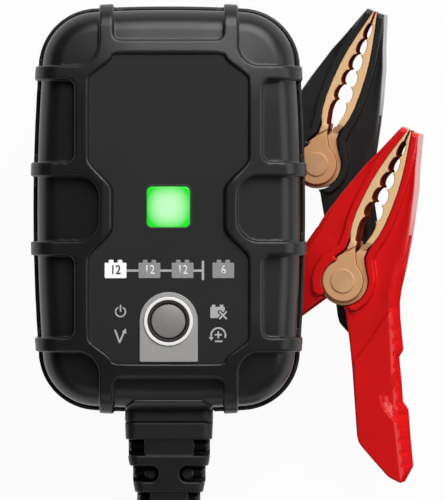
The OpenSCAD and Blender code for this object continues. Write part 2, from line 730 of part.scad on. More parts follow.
rear_shell();
front_shell();
shell_gasket();
face_plate();
status_lens();
indicator_lights();
button_surround();
button_ring();
mode_button();
tact_switch();
display_board();
status_led();
power_board();
transformer_core();
transformer_winding();
filter_capacitors();
heat_sink();
power_transistor();
mains_fuse();
plug_base();
mains_blades();
blade_contacts();
housing_screws();
lead_boot();
lead_grip();
output_wires();
charger_lead();
lead_coil();
coil_tie();
lead_plug();
clamp_socket();
red_lead();
black_lead();
red_fixed_cover();
red_moving_cover();
red_fixed_jaw();
red_moving_jaw();
red_rivet();
red_spring();
red_spring_leg();
red_crimp();
black_fixed_cover();
black_moving_cover();
black_fixed_jaw();
black_moving_jaw();
black_rivet();
black_spring();
black_spring_leg();
black_crimp();
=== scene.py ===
"""Looks of a plug-in car battery charger with two battery clamps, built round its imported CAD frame.

Sizes are millimetres in the frame of the CAD model. A mesh is turned into metres when it is made.
Every main piece is a Form, a solid given by its distance, which skin() turns into a closed mesh.
"""

import logging
import math
from collections.abc import Callable, Sequence
from dataclasses import dataclass
from enum import Enum
from functools import reduce
from itertools import product

import bmesh
import bpy
import numpy as np
from mathutils import Matrix, Vector


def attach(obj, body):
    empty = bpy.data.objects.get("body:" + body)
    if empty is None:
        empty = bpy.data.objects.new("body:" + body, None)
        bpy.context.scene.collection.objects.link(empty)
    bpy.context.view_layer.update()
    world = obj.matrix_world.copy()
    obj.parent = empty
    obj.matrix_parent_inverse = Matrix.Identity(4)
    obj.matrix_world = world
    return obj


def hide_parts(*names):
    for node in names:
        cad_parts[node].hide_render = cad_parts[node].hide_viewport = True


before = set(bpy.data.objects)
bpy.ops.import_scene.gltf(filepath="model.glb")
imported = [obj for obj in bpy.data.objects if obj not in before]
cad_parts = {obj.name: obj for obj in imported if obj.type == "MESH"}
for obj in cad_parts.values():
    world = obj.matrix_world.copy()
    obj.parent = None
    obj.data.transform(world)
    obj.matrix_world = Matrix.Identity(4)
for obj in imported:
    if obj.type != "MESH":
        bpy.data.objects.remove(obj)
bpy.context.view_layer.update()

logging.basicConfig(level=logging.INFO, format="%(message)s")
LOG = logging.getLogger("charger")

MM = 0.001
TABLE_Z = -17.5
SEAM_Z = 21.0
Array = np.ndarray
Piece = bpy.types.Object
Point2 = tuple[float, float]
Point3 = tuple[float, float, float]
Line = tuple[Point2, ...]
Route = tuple[Point3, ...]
# Half width, half length and corner radius of a rounded rectangle.
Plan = tuple[float, float, float]
Field = Callable[[Array, Array, Array], Array]


class Body(str, Enum):
    """The moving bodies of the frame."""

    CHARGER = "charger"
    BUTTON = "button"
    RED_ARM = "red_clamp_arm"
    BLACK_ARM = "black_clamp_arm"


# ---------- solids given by their distance ----------


def union(a: Array, b: Array, fillet: float) -> Array:
    """Distance to two solids taken as one.

    Args:
        a: distance to the first.
        b: distance to the second.
        fillet: radius of the hollow edge between the two.

    Returns:
        The distance to both.
    """
    if fillet <= 0:
        return np.minimum(a, b)
    corner = np.hypot(np.maximum(fillet - a, 0), np.maximum(fillet - b, 0))
    return np.maximum(fillet, np.minimum(a, b)) - corner


def past_corner(a: Array, b: Array) -> Array:
    """Distance past two faces that meet square, negative behind both."""
    return np.hypot(np.maximum(a, 0), np.maximum(b, 0)) + np.minimum(np.maximum(a, b), 0)


def off_segment(x: Array, y: Array, start: Array, end: Array) -> Array:
    """Squared distance in plan to a straight line.

    Args:
        x: where it is wanted, across.
        y: where it is wanted, along.
        start: one end of the line.
        end: its other end.

    Returns:
        The distance, squared.
    """
    (ax, ay), (ex, ey) = start, end - start
    along = np.clip(((x - ax) * ex + (y - ay) * ey) / (ex * ex + ey * ey), 0, 1)
    return (x - ax - ex * along) ** 2 + (y - ay - ey * along) ** 2


@dataclass(frozen=True)
class Form:
    """A solid given by its distance in mm at any point, negative inside."""

    at: Field

    def join(self, other: "Form", fillet: float = 0.0) -> "Form":
        """Adds another solid, with a hollow edge of that radius."""
        return Form(lambda x, y, z: union(self.at(x, y, z), other.at(x, y, z), fillet))

    def within(self, other: "Form", edge: float = 0.0) -> "Form":
        """Keeps what lies inside another solid, with an outer edge of that radius."""
        return Form(lambda x, y, z: -union(-self.at(x, y, z), -other.at(x, y, z), edge))

    def inverse(self) -> "Form":
        """Everything outside the solid."""
        return Form(lambda x, y, z: -self.at(x, y, z))

    def cut(self, other: "Form", edge: float = 0.0) -> "Form":
        """Takes another solid away, with an outer edge of that radius."""
        return self.within(other.inverse(), edge)

    def grown(self, by: float) -> "Form":
        """The solid with its surface moved outwards."""
        return Form(lambda x, y, z: self.at(x, y, z) - by)

    def moved(self, x: float = 0.0, y: float = 0.0, z: float = 0.0) -> "Form":
        """The solid in another place."""
        return Form(lambda u, v, w: self.at(u - x, v - y, w - z))

    def folded(self) -> "Form":
        """The solid's quarter where x and y are positive, repeated in all four quarters."""
        return Form(lambda x, y, z: self.at(np.abs(x), np.abs(y), z))


def above(level: float, axis: int = 2) -> Form:
    """All space past a level along one axis."""
    return Form(lambda *at: level - at[axis])


def below(level: float, axis: int = 2) -> Form:
    """All space before a level along one axis."""
    return Form(lambda *at: at[axis] - level)


def slab(middle: float, half: float, axis: int) -> Form:
    """All space within a distance of a level along one axis."""
    return Form(lambda *at: np.abs(at[axis] - middle) - half)


def disc(r: float, centre: Point2 = (0.0, 0.0), plane: tuple[int, int] = (0, 1)) -> Form:
    """An endless round bar, square to a plane of two axes."""
    return Form(lambda *at: np.hypot(at[plane[0]] - centre[0], at[plane[1]] - centre[1]) - r)


def rounded_rectangle(half_x: float, half_y: float, r: float) -> Form:
    """An upright bar with a round-cornered rectangle as its plan."""
    return Form(lambda x, y, z: past_corner(np.abs(x) - (half_x - r), np.abs(y) - (half_y - r)) - r)


def polygon(points: Sequence[Point2]) -> Form:
    """An upright bar with a polygon as its plan.

    Args:
        points: corners of the plan, in order.

    Returns:
        The bar, endless along z.
    """
    corners = np.array(points, float)
    sides = [side for side in zip(corners, np.roll(corners, 1, axis=0)) if (side[0] != side[1]).any()]

    def distance(x: Array, y: Array, z: Array) -> Array:
        """Distance to the bar.

        Args:
            x: across.
            y: along.
            z: upwards.

        Returns:
            The distance.
        """
        inside = False
        for (ax, ay), (bx, by) in sides:
            if ay != by:
                inside = inside ^ (((ay > y) != (by > y)) & (x < (bx - ax) * (y - ay) / (by - ay) + ax))
        nearest = reduce(np.minimum, (off_segment(x, y, *side) for side in sides))
        return np.where(inside, -1.0, 1.0) * np.sqrt(nearest)

    return Form(distance)


def track(points: Sequence[Point2], half_width: float) -> Form:
    """An upright strip along an open line.

    Args:
        points: the line.
        half_width: half the strip's width.

    Returns:
        The strip, endless along z.
    """
    line = np.array(points, float)
    sides = list(zip(line[:-1], line[1:]))
    near = Form(lambda x, y, z: reduce(np.minimum, (off_segment(x, y, *side) for side in sides)))
    return Form(lambda x, y, z: np.sqrt(near.at(x, y, z)) - half_width)


def rounded_box(centre: Point3, half: Point3, r: float) -> Form:
    """A box with round edges.

    Args:
        centre: its middle.
        half: half its sizes.
        r: radius of its edges.

    Returns:
        The box.
    """

    def distance(*at: Array) -> Array:
        """Distance to the box.

        Args:
            at: x, y and z.

        Returns:
            The distance.
        """
        q = [np.abs(v - c) - (h - r) for v, c, h in zip(at, centre, half)]
        outside = np.sqrt(sum(np.maximum(side, 0) ** 2 for side in q))
        return outside + np.minimum(reduce(np.maximum, q), 0) - r

    return Form(distance)


def plate(plan: Form, low: float, high: float, edge: float = 0.0) -> Form:
    """A plan between two heights, with round edges."""
    return plan.within(below(high), edge).within(above(low), edge)


def rise(value: Array, low: float = 0.0, high: float = 1.0) -> Array:
    """Smooth step from 0 at low to 1 at high."""
    t = np.clip((value - low) / (high - low), 0, 1)
    return t * t * (3 - 2 * t)


# ---------- meshes ----------


def new_mesh(name: str, points: Array, faces: Array) -> bpy.types.Mesh:
    """Makes a mesh from points in mm and faces of one size each.

    Args:
        name: name of the mesh.
        points: one row a vertex, in mm.
        faces: one row a face, of vertex numbers.

    Returns:
        The mesh, in metres.
    """
    mesh = bpy.data.meshes.new(name)
    sides = faces.shape[1]
    mesh.vertices.add(len(points))
    mesh.vertices.foreach_set("co", (points * MM).astype(np.float32).ravel())
    mesh.loops.add(faces.size)
    mesh.loops.foreach_set("vertex_index", faces.astype(np.int32).ravel())
    mesh.polygons.add(len(faces))
    mesh.polygons.foreach_set("loop_start", np.arange(0, faces.size, sides, dtype=np.int32))
    mesh.update(calc_edges=True)
    mesh.validate()
    return mesh


def skin(form: Form, low: Point3, high: Point3, step: Point3) -> tuple[Array, Array]:
    """Turns a solid into a closed skin of quads, one point in each grid cell that the surface crosses.

    Args:
        form: the solid.
        low: lowest corner of the space it fills.
        high: highest corner of that space.
        step: size of a grid cell.

    Returns:
        The points in mm and the quads.
    """
    axes = [np.arange(a - 1.6 * s, b + 2.4 * s, s) for a, b, s in zip(low, high, step)]
    grid = np.meshgrid(*axes, indexing="ij", sparse=True)
    shape = tuple(len(a) for a in axes)
    values = np.array(np.broadcast_to(form.at(*grid), shape))
    for axis in range(3):
        border = np.moveaxis(values, axis, 0)
        border[[0, -1]] = np.maximum(border[[0, -1]], 0.01)
    inside = values < 0
    cells, crossings, rings = [], [], []
    for axis in range(3):
        first = tuple(slice(0, -1) if i == axis else slice(None) for i in range(3))
        second = tuple(slice(1, None) if i == axis else slice(None) for i in range(3))
        start = np.argwhere(inside[first] != inside[second])
        end = start.copy()
        end[:, axis] += 1
        here, there = values[tuple(start.T)], values[tuple(end.T)]
        crossing = start.astype(float)
        crossing[:, axis] += here / (here - there)
        around = []
        for u, v in ((0, 0), (1, 0), (1, 1), (0, 1)):
            cell = start.copy()
            cell[:, (axis + 1) % 3] -= u
            cell[:, (axis + 2) % 3] -= v
            around.append(np.ravel_multi_index(tuple(cell.T), shape))
        ring = np.stack(around, 1)
        ring[here >= 0] = ring[here >= 0][:, ::-1]
        rings.append(ring)
        for cell in around:
            cells.append(cell)
            crossings.append(crossing)
    quads = np.concatenate(rings)
    known, index = np.unique(np.concatenate(cells), return_inverse=True)
    count = np.bincount(index)
    where = np.concatenate(crossings)
    points = np.stack([np.bincount(index, where[:, i]) / count for i in range(3)], 1)
    points = points * np.array(step) + np.array([a[0] for a in axes])
    return settle(form, points, min(step) * 0.45), np.searchsorted(known, quads)


def settle(form: Form, points: Array, reach: float) -> Array:
    """Moves points onto a solid's surface.

    Args:
        form: the solid.
        points: points near its surface, one row each.
        reach: the furthest that a point may move.

    Returns:
        The points on the surface.
    """
    nudge = 0.02
    x, y, z = points.T
    here = form.at(x, y, z)
    slope = np.stack([form.at(x + nudge, y, z), form.at(x, y + nudge, z), form.at(x, y, z + nudge)], 1)
    slope = (slope - here[:, None]) / nudge
    steep = np.maximum((slope**2).sum(1), 0.25)
    move = -slope * (here / steep)[:, None]
    length = np.linalg.norm(move, axis=1)
    return points + move * np.minimum(1, reach / np.maximum(length, 1e-9))[:, None]


def hand_over(piece: Piece, slot: str, *nodes: str, body: Body = Body.CHARGER) -> Piece:
    """Ties a finished piece to the frame.

    Args:
        piece: the piece.
        slot: the frame's material slot that it is in; not used.
        nodes: the frame's nodes that it stands for.
        body: the frame's body that it rides on.

    Returns:
        The piece.
    """
    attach(piece, body.value)
    if nodes:
        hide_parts(*nodes)
    count = 0
    if piece.type == "MESH":
        piece.data.calc_loop_triangles()
        count = len(piece.data.loop_triangles)
    LOG.info("piece %s: %d triangles on %s", piece.name, count, body.value)
    return piece


def mark(piece: Piece, name: str, values: Array) -> None:
    """Gives every point of a piece a value that its finish can read."""
    kept = piece.data.attributes.new(name, "FLOAT", "POINT")
    kept.data.foreach_set("value", values.astype(np.float32))


def own_axes(piece: Piece, place: Matrix) -> tuple[Array, Array]:
    """Points and normals of a placed piece, along its own axes again.

    Args:
        piece: the piece.
        place: turn and shift that it was placed with, in mm.

    Returns:
        The points in mm and the normals.
    """
    mesh = piece.data
    points = np.empty(len(mesh.vertices) * 3, np.float32)
    normals = points.copy()
    mesh.vertices.foreach_get("co", points)
    mesh.vertex_normals.foreach_get("vector", normals)
    back = np.array(place.inverted())
    points = points.reshape(-1, 3) / MM
    return points @ back[:3, :3].T + back[:3, 3], normals.reshape(-1, 3) @ back[:3, :3].T


def new_object(name: str, data: bpy.types.ID) -> Piece:
    """Puts new data in the scene as an object at the origin.

    Args:
        name: name of the object.
        data: its mesh, curve, camera or light.

    Returns:
        The object.
    """
    piece = bpy.data.objects.new(name, data)
    bpy.context.scene.collection.objects.link(piece)
    return piece


@dataclass(frozen=True)
class Grid:
    """The space that a piece fills and the cell that its skin is made with."""

    low: Point3
    high: Point3
    step: Point3


def solid(name: str, form: Form, grid: Grid, place: Matrix | None = None) -> Piece:
    """Makes an object from a solid.

    Args:
        name: name of the object.
        form: the solid.
        grid: where it is and how finely it is meshed.
        place: turn and shift from its own axes to the frame, in mm.

    Returns:
        The object, smooth shaded.
    """
    points, quads = skin(form, grid.low, grid.high, grid.step)
    if place is not None:
        turn = np.array(place)
        points = points @ turn[:3, :3].T + turn[:3, 3]
        if place.determinant() < 0:
            quads = quads[:, ::-1]
    piece = new_object(name, new_mesh(name, points, quads))
    piece.data.shade_smooth()
    return piece


def carve(piece: Piece, tool: Piece) -> None:
    """Takes one object away from another.

    Args:
        piece: the object that stays.
        tool: what is taken away, deleted afterwards.
    """
    modifier = piece.modifiers.new("carve", "BOOLEAN")
    modifier.operation = "DIFFERENCE"
    modifier.solver = "MANIFOLD"
    modifier.object = tool
    bake_modifiers(piece)
    bpy.data.objects.remove(tool)


def evaluated_mesh(piece: Piece) -> bpy.types.Mesh:
    """A new mesh of an object as its modifiers or its curve settings leave it."""
    bpy.context.view_layer.update()
    return bpy.data.meshes.new_from_object(piece.evaluated_get(bpy.context.evaluated_depsgraph_get()))


def bake_modifiers(piece: Piece) -> None:
    """Turns an object's modifiers into its mesh and removes them.

    Args:
        piece: the object.
    """
    mesh = evaluated_mesh(piece)
    mesh.name = piece.name
    piece.modifiers.clear()
    piece.data = mesh
    mesh.shade_smooth()


def lighten(piece: Piece, most: int = 190_000) -> Piece:
    """Collapses the least useful edges of a piece that has too many triangles.

    Args:
        piece: the piece.
        most: the most triangles that it may have.

    Returns:
        The piece.
    """
    piece.data.calc_loop_triangles()
    count = len(piece.data.loop_triangles)
    if count > most:
        modifier = piece.modifiers.new("lighten", "DECIMATE")
        modifier.ratio = most / count
        bake_modifiers(piece)
    return piece


def merge(name: str, *pieces: Piece) -> Piece:
    """Puts several mesh objects into one.

    Args:
        name: name of the new object.
        pieces: the objects, deleted afterwards.

    Returns:
        The new object, smooth shaded.
    """
    joined = bmesh.new()
    for piece in pieces:
        joined.from_mesh(piece.data)
        bpy.data.objects.remove(piece)
    mesh = bpy.data.meshes.new(name)
    joined.to_mesh(mesh)
    joined.free()
    mesh.shade_smooth()
    return new_object(name, mesh)


# ---------- node trees ----------


def operator(operation: str, swapped: bool = False) -> Callable[..., "Wire"]:
    """A method that adds one Math node.

    Args:
        operation: what the node does.
        swapped: whether the other value comes first.

    Returns:
        The method, for the class of wires.
    """

    def method(wire: "Wire", other: "Wire | float" = 0.0) -> "Wire":
        """Adds the node and gives its result."""
        first, second = (other, wire) if swapped else (wire, other)
        return wire.bench.node("ShaderNodeMath", {"operation": operation}, {0: first, 1: second})

    return method


@dataclass(frozen=True)
class Wire:
    """One socket that gives a value, with arithmetic that adds Math nodes."""

    bench: "Bench"
    socket: bpy.types.NodeSocket

    __add__ = operator("ADD")
    __radd__ = operator("ADD", swapped=True)
    __sub__ = operator("SUBTRACT")
    __rsub__ = operator("SUBTRACT", swapped=True)
    __mul__ = operator("MULTIPLY")
    __rmul__ = operator("MULTIPLY", swapped=True)
    __pow__ = operator("POWER")
    __lt__ = operator("LESS_THAN")
    __abs__ = operator("ABSOLUTE")
    larger = operator("MAXIMUM")
    smaller = operator("MINIMUM")


Value = Wire | float | int | bool | str | tuple | bpy.types.ID


@dataclass(frozen=True)
class Bench:
    """Adds nodes to one node tree."""

    tree: bpy.types.NodeTree

    def node(
        self,
        kind: str,
        settings: dict[str, object] | None = None,
        inputs: dict[int | str, Value] | None = None,
        output: int | str = 0,
    ) -> Wire:
        """Adds one node.

        Args:
            kind: the node's type.
            settings: its own settings, set first.
            inputs: values or wires for its sockets.
            output: which of its outputs is wanted.

        Returns:
            That output.
        """
        made = self.tree.nodes.new(kind)
        for name, value in (settings or {}).items():
            setattr(made, name, value)
        for key, value in (inputs or {}).items():
            if isinstance(value, Wire):
                self.tree.links.new(value.socket, made.inputs[key])
            else:
                made.inputs[key].default_value = value
        return Wire(self, made.outputs[output]) if made.outputs else Wire(self, None)


def linear(red: float, green: float, blue: float) -> tuple[float, float, float, float]:
    """A screen colour of 0 to 255 as the shader wants it."""
    parts = (part / 255 for part in (red, green, blue))
    return (*(part / 12.92 if part <= 0.04045 else ((part + 0.055) / 1.055) ** 2.4 for part in parts), 1.0)


class SurfaceBench(Bench):
    """Adds nodes to the tree of one surface finish."""

    def place(self) -> Wire:
        """Object coordinates, in metres."""
        return self.node("ShaderNodeTexCoord", output="Object")

    def stretched(self, factors: Point3) -> Wire:
        """Object coordinates with each axis multiplied."""
        settings = {"operation": "MULTIPLY"}
        return self.node("ShaderNodeVectorMath", settings, {0: self.place(), 1: factors})

    def noise(self, size_mm: float, detail: float = 3.0, vector: Wire | None = None) -> Wire:
        """Noise from 0 to 1 with lumps of that size."""
        inputs = {"Vector": vector or self.place(), "Scale": 1 / (size_mm * MM), "Detail": detail}
        return self.node("ShaderNodeTexNoise", None, inputs, "Fac")

    def blend(self, factor: Wire | float, first: Value, second: Value) -> Wire:
        """A colour between two others."""
        return self.node("ShaderNodeMix", {"data_type": "RGBA"}, {0: factor, 6: first, 7: second}, 2)

    def marked(self, name: str) -> Wire:
        """A value that the mesh carries."""
        return self.node("ShaderNodeAttribute", {"attribute_name": name}, output="Fac")

    def bump(self, height: Wire, depth_mm: float) -> Wire:
        """A normal from heights that are depth_mm deep at 1."""
        return self.node("ShaderNodeBump", None, {"Height": height, "Distance": depth_mm * MM})


def shaded(rgb: Point3, factor: float) -> tuple[float, float, float, float]:
    """A screen colour made darker or lighter."""
    return linear(*(min(255.0, part * factor) for part in rgb))


@dataclass(frozen=True)
class Finish:
    """A surface finish. Each kind fills in the varying sockets of one Principled shader."""

    name: str
    rgb: Point3

    def material(self) -> bpy.types.Material:
        """The finish as a Blender material, made once.

        Returns:
            The material.
        """
        known = bpy.data.materials.get(self.name)
        if known:
            return known
        made = bpy.data.materials.new(self.name)
        made.use_nodes = True
        made.node_tree.nodes.clear()
        bench = SurfaceBench(made.node_tree)
        surface = bench.node("ShaderNodeBsdfPrincipled", None, {**self.constants(), **self.varying(bench)})
        bench.node("ShaderNodeOutputMaterial", None, {"Surface": surface})
        made.diffuse_color = linear(*self.rgb)
        return made

    def constants(self) -> dict[str, Value]:
        """Values that are the same all over the surface."""
        return {}

    def varying(self, bench: SurfaceBench) -> dict[str, Value]:
        """Wires for what changes over the surface."""
        return {"Base Color": linear(*self.rgb)}


@dataclass(frozen=True)
class Moulded(Finish):
    """Moulded plastic or rubber: fine spark grain, uneven gloss and a little cloudiness."""

    rough: float = 0.45
    grain_mm: float = 0.22
    grain_depth: float = 0.012
    cloud: float = 0.1
    specular: float = 0.5

    def constants(self) -> dict[str, Value]:
        """Gloss of the bare plastic."""
        return {"Specular IOR Level": self.specular}

    def varying(self, bench: SurfaceBench) -> dict[str, Value]:
        """Cloudy colour, uneven roughness and a fine grain.

        Args:
            bench: the material's tree.

        Returns:
            Values and wires for the shader's sockets.
        """
        cloudy = bench.noise(9.0, 4.0)
        fine = bench.noise(self.grain_mm, 2.0)
        dark, light = shaded(self.rgb, 1 - self.cloud), shaded(self.rgb, 1 + self.cloud)
        return {
            "Base Color": bench.blend(cloudy, dark, light),
            "Roughness": self.rough - 0.05 + 0.06 * cloudy + 0.05 * fine,
            "Normal": bench.bump(fine, self.grain_depth),
        }


@dataclass(frozen=True)
class Polished(Moulded):
    """Moulded plastic under a thin gloss that is full on its polished walls and fades on its ribbed ones."""

    front_gloss: float = 0.55

    def constants(self) -> dict[str, Value]:
        """A dull body below the gloss."""
        return {"Specular IOR Level": 0.0, "Coat Roughness": 0.15}

    def varying(self, bench: SurfaceBench) -> dict[str, Value]:
        """The moulded finish with its gloss, by what the mesh marks.

        Args:
            bench: the material's tree.

        Returns:
            Values and wires for the shader's sockets.
        """
        wires = super().varying(bench)
        front = (1 - bench.marked("wall")) * self.front_gloss
        wires["Coat Weight"] = front + bench.marked("wall") * bench.marked("upper")
        return wires


@dataclass(frozen=True)
class Metal(Finish):
    """Rolled or plated metal: fine lines along one axis, a little tarnish and pitting."""

    rough: float = 0.3
    lines: Point3 = (1.0, 1.0, 1.0)
    line_mm: float = 0.25
    depth: float = 0.006
    tarnish: float = 0.15
    metallic: float = 1.0

    def constants(self) -> dict[str, Value]:
        """How much of it is bare metal."""
        return {"Metallic": self.metallic}

    def varying(self, bench: SurfaceBench) -> dict[str, Value]:
        """Tarnish in the colour, lines in the gloss and the relief.

        Args:
            bench: the material's tree.

        Returns:
            Values and wires for the shader's sockets.
        """
        stain = bench.noise(3.0, 5.0)
        line = bench.noise(self.line_mm, 3.0, bench.stretched(self.lines))
        dull, bright = shaded(self.rgb, 1 - self.tarnish), shaded(self.rgb, 1 + self.tarnish * 0.4)
        return {
            "Base Color": bench.blend(stain, dull, bright),
            "Roughness": self.rough - 0.06 + 0.08 * stain + 0.08 * line,
            "Normal": bench.bump(line, self.depth),
        }


@dataclass(frozen=True)
class Stamped(Metal):
    """Sheet metal, darker round its pivot, with painted shade and a painted red-brown reflection on the walls
    of its notches.
    """

    # Painted shade and painted reflection of the red and black covers, for the notch walls.
    wall_shade_rgb: Point3 = (144, 58, 36)
    pivot_rgb: Point3 = (226, 172, 126)

    def constants(self) -> dict[str, Value]:
        """No sheen beside the metal's own."""
        return {"Specular IOR Level": 0.0}

    def varying(self, bench: SurfaceBench) -> dict[str, Value]:
        """The metal, tinted by what the mesh marks, with painted shade on its walls.

        Args:
            bench: the material's tree.

        Returns:
            Values and wires for the shader's sockets.
        """
        wires = super().varying(bench)
        front = bench.blend(bench.marked("upper"), linear(*self.pivot_rgb), wires["Base Color"])
        # Painted shade: the marked walls take the dark red-brown instead of the metal.
        wires["Base Color"] = bench.blend(bench.marked("wall"), front, linear(*self.wall_shade_rgb))
        wires["Metallic"] = (1 - bench.marked("wall")) * self.metallic
        return wires


@dataclass(frozen=True)
class LitLens(Finish):
    """A square lens lit from below: pale in the middle, deep in colour at the rim."""

    pale: Point3 = (200, 252, 200)
    centre: Point2 = (0.0, 0.4)
    half: float = 4.6
    power: float = 2.2

    def constants(self) -> dict[str, Value]:
        """Gloss and glow."""
        return {"Emission Strength": 1.0, "Roughness": 0.3, "Specular IOR Level": 0.3}

    def varying(self, bench: SurfaceBench) -> dict[str, Value]:
        """A glow that falls off from the middle, with a faint diffuser grain.

        Args:
            bench: the material's tree.

        Returns:
            Values and wires for the shader's sockets.
        """
        place = bench.place()
        parts = [bench.node("ShaderNodeSeparateXYZ", None, {"Vector": place}, axis) for axis in (0, 1)]
        x, y = (abs(part - c * MM) * (1 / (self.half * MM)) for part, c in zip(parts, self.centre))
        away = ((x**2.6 + y**2.6) ** (1 / 2.6)).smaller(1.0)
        speckle = bench.noise(0.5) * 0.08 - 0.04
        glow = bench.blend((away**self.power + speckle).smaller(1.0), linear(*self.pale), linear(*self.rgb))
        return {"Base Color": shaded(self.rgb, 0.35), "Emission Color": glow}


@dataclass(frozen=True)
class Lamp(Finish):
    """A small light window in the face, pale and slightly lit; on an unlit window this glow is painted light.
    """

    glow: float = 0.25

    def constants(self) -> dict[str, Value]:
        """A soft even glow."""
        return {"Emission Strength": self.glow, "Roughness": 0.4}

    def varying(self, bench: SurfaceBench) -> dict[str, Value]:
        """A faint diffuser grain.

        Args:
            bench: the material's tree.

        Returns:
            Values and wires for the shader's sockets.
        """
        speckle = bench.noise(0.4)
        tint = bench.blend(speckle, shaded(self.rgb, 0.93), linear(*self.rgb))
        return {"Base Color": tint, "Emission Color": tint}


@dataclass(frozen=True)
class Board(Finish):
    """Circuit board: solder mask over copper tracks and a few round pads."""

    def varying(self, bench: SurfaceBench) -> dict[str, Value]:
        """Tracks as stepped bands, pads as dots.

        Args:
            bench: the material's tree.

        Returns:
            Values and wires for the shader's sockets.
        """
        tracks = bench.node(
            "ShaderNodeTexBrick",
            {"offset": 0.35, "squash": 1.4},
            {"Vector": bench.place(), "Scale": 260.0, "Mortar Size": 0.045},
            "Fac",
        )
        dots = bench.node("ShaderNodeTexVoronoi", None, {"Vector": bench.place(), "Scale": 420.0}, "Distance")
        pads = dots < 0.2
        copper = bench.blend(tracks, linear(*self.rgb), shaded(self.rgb, 1.5))
        return {
            "Base Color": bench.blend(pads, copper, linear(205, 190, 130)),
            "Roughness": 0.35 + 0.1 * tracks,
            "Normal": bench.bump(tracks, 0.03),
        }


@dataclass(frozen=True)
class Wound(Finish):
    """Tape or wire wound in even bands along one axis."""

    band_mm: float = 0.5
    axis: int = 2
    rough: float = 0.4

    def varying(self, bench: SurfaceBench) -> dict[str, Value]:
        """Bands in the colour and the relief.

        Args:
            bench: the material's tree.

        Returns:
            Values and wires for the shader's sockets.
        """
        along = bench.node("ShaderNodeSeparateXYZ", None, {"Vector": bench.place()}, self.axis)
        settings = {"operation": "PINGPONG"}
        band = bench.node("ShaderNodeMath", settings, {0: along * (1 / (self.band_mm * MM)), 1: 0.5}) * 2.0
        worn = bench.noise(1.2)
        return {
            "Base Color": bench.blend(band * 0.7 + worn * 0.3, shaded(self.rgb, 0.7), linear(*self.rgb)),
            "Roughness": self.rough + 0.1 * worn,
            "Normal": bench.bump(band, 0.06),
        }


@dataclass(frozen=True)
class Woven(Finish):
    """Coarse woven band, as on a cable tie of hook-and-loop fabric."""

    thread_mm: float = 0.55

    def varying(self, bench: SurfaceBench) -> dict[str, Value]:
        """Crossing threads in the colour and the relief.

        Args:
            bench: the material's tree.

        Returns:
            Values and wires for the shader's sockets.
        """
        settings = {"wave_profile": "TRI", "bands_direction": "DIAGONAL"}
        scale = 1 / (self.thread_mm * MM * 6)
        waves = bench.node("ShaderNodeTexWave", settings, {"Vector": bench.place(), "Scale": scale}, "Fac")
        fuzz = bench.noise(0.3)
        return {
            "Base Color": bench.blend(waves, shaded(self.rgb, 0.6), linear(*self.rgb)),
            "Roughness": 0.8 + 0.1 * fuzz,
            "Normal": bench.bump(waves * 0.7 + fuzz * 0.3, 0.15),
        }


CASE_BLACK = Moulded("case_black_grain", (21, 21, 22), rough=0.34, grain_mm=0.3, grain_depth=0.008)
REAR_BLACK = Moulded("rear_black_grain", (16, 16, 17), rough=0.42, grain_mm=0.3, grain_depth=0.01)
FACE_BLACK = Moulded(
    "face_black_matt", (27, 27, 29), rough=0.5, grain_mm=0.12, grain_depth=0.004, specular=0.35
)
BASE_BLACK = Moulded("plug_base_black", (23, 23, 25), rough=0.35, grain_mm=0.18, grain_depth=0.006)
SEAL_RUBBER = Moulded("seal_rubber_matt", (12, 12, 13), rough=0.7, grain_depth=0.01)
BOOT_RUBBER = Moulded("boot_rubber_satin", (15, 15, 16), rough=0.46, grain_mm=0.25, grain_depth=0.01)
LEAD_RUBBER = Moulded("lead_jacket_satin", (22, 22, 23), rough=0.48, grain_mm=0.35, grain_depth=0.012)
RED_JACKET = Moulded("red_jacket_satin", (176, 22, 26), rough=0.42, grain_mm=0.35, grain_depth=0.01)
RED_GLOSS = Polished("clamp_red_gloss", (223, 25, 27), rough=0.3, grain_mm=0.5, grain_depth=0.002, cloud=0.03)
BLACK_GLOSS = Polished("clamp_black_gloss", (46, 45, 45), rough=0.32, grain_mm=0.5, grain_depth=0.003)
TRIM_GREY = Moulded(
    "trim_grey_satin", (166, 164, 162), rough=0.45, grain_mm=0.1, grain_depth=0.003, cloud=0.04
)
BUTTON_GREY = Moulded("button_grey_satin", (137, 135, 133), rough=0.32, grain_mm=0.12, grain_depth=0.003)
RING_WHITE = Moulded(
    "ring_white_satin", (253, 253, 251), rough=0.4, grain_mm=0.2, grain_depth=0.003, cloud=0.03
)
# A dark ring that paints the shade in the gap between the white ring and the button.
RING_PAINTED_SHADE = Moulded("ring_dark_satin", (46, 34, 34), rough=0.5, grain_depth=0.004)
PRINT_PALE = Moulded(
    "print_pale_ink", (186, 186, 184), rough=0.5, grain_mm=0.1, grain_depth=0.003, cloud=0.03
)
PRINT_DARK = Moulded("print_dark_ink", (38, 38, 40), rough=0.5, grain_mm=0.1, grain_depth=0.003)
PRINT_WHITE = Moulded(
    "print_white_ink", (240, 240, 238), rough=0.5, grain_mm=0.1, grain_depth=0.003, cloud=0.02
)
SLEEVE = Moulded("capacitor_sleeve_gloss", (34, 48, 92), rough=0.3, grain_depth=0.004)
CERAMIC = Moulded("fuse_ceramic", (222, 214, 198), rough=0.4, grain_mm=0.4, grain_depth=0.01)
CHIP_BLACK = Moulded("chip_black_resin", (26, 26, 27), rough=0.55, grain_mm=0.15, grain_depth=0.01)
FERRITE = Moulded("ferrite_sintered", (58, 58, 61), rough=0.62, grain_mm=0.3, grain_depth=0.03)
BRONZE = Stamped(
    "jaw_bronze_grained", (255, 210, 158), rough=0.5, lines=(1.0, 0.35, 1.0), line_mm=0.35, depth=0.01,
    metallic=0.16, tarnish=0.05,
)
RIVET_BRONZE = Metal("rivet_bronze", (228, 176, 130), rough=0.5, metallic=0.15, tarnish=0.1)
BRASS = Metal("contact_brass", (205, 168, 96), rough=0.3)
NICKEL = Metal("blade_nickel", (214, 214, 216), rough=0.22, lines=(1.0, 1.0, 0.12), line_mm=0.2)
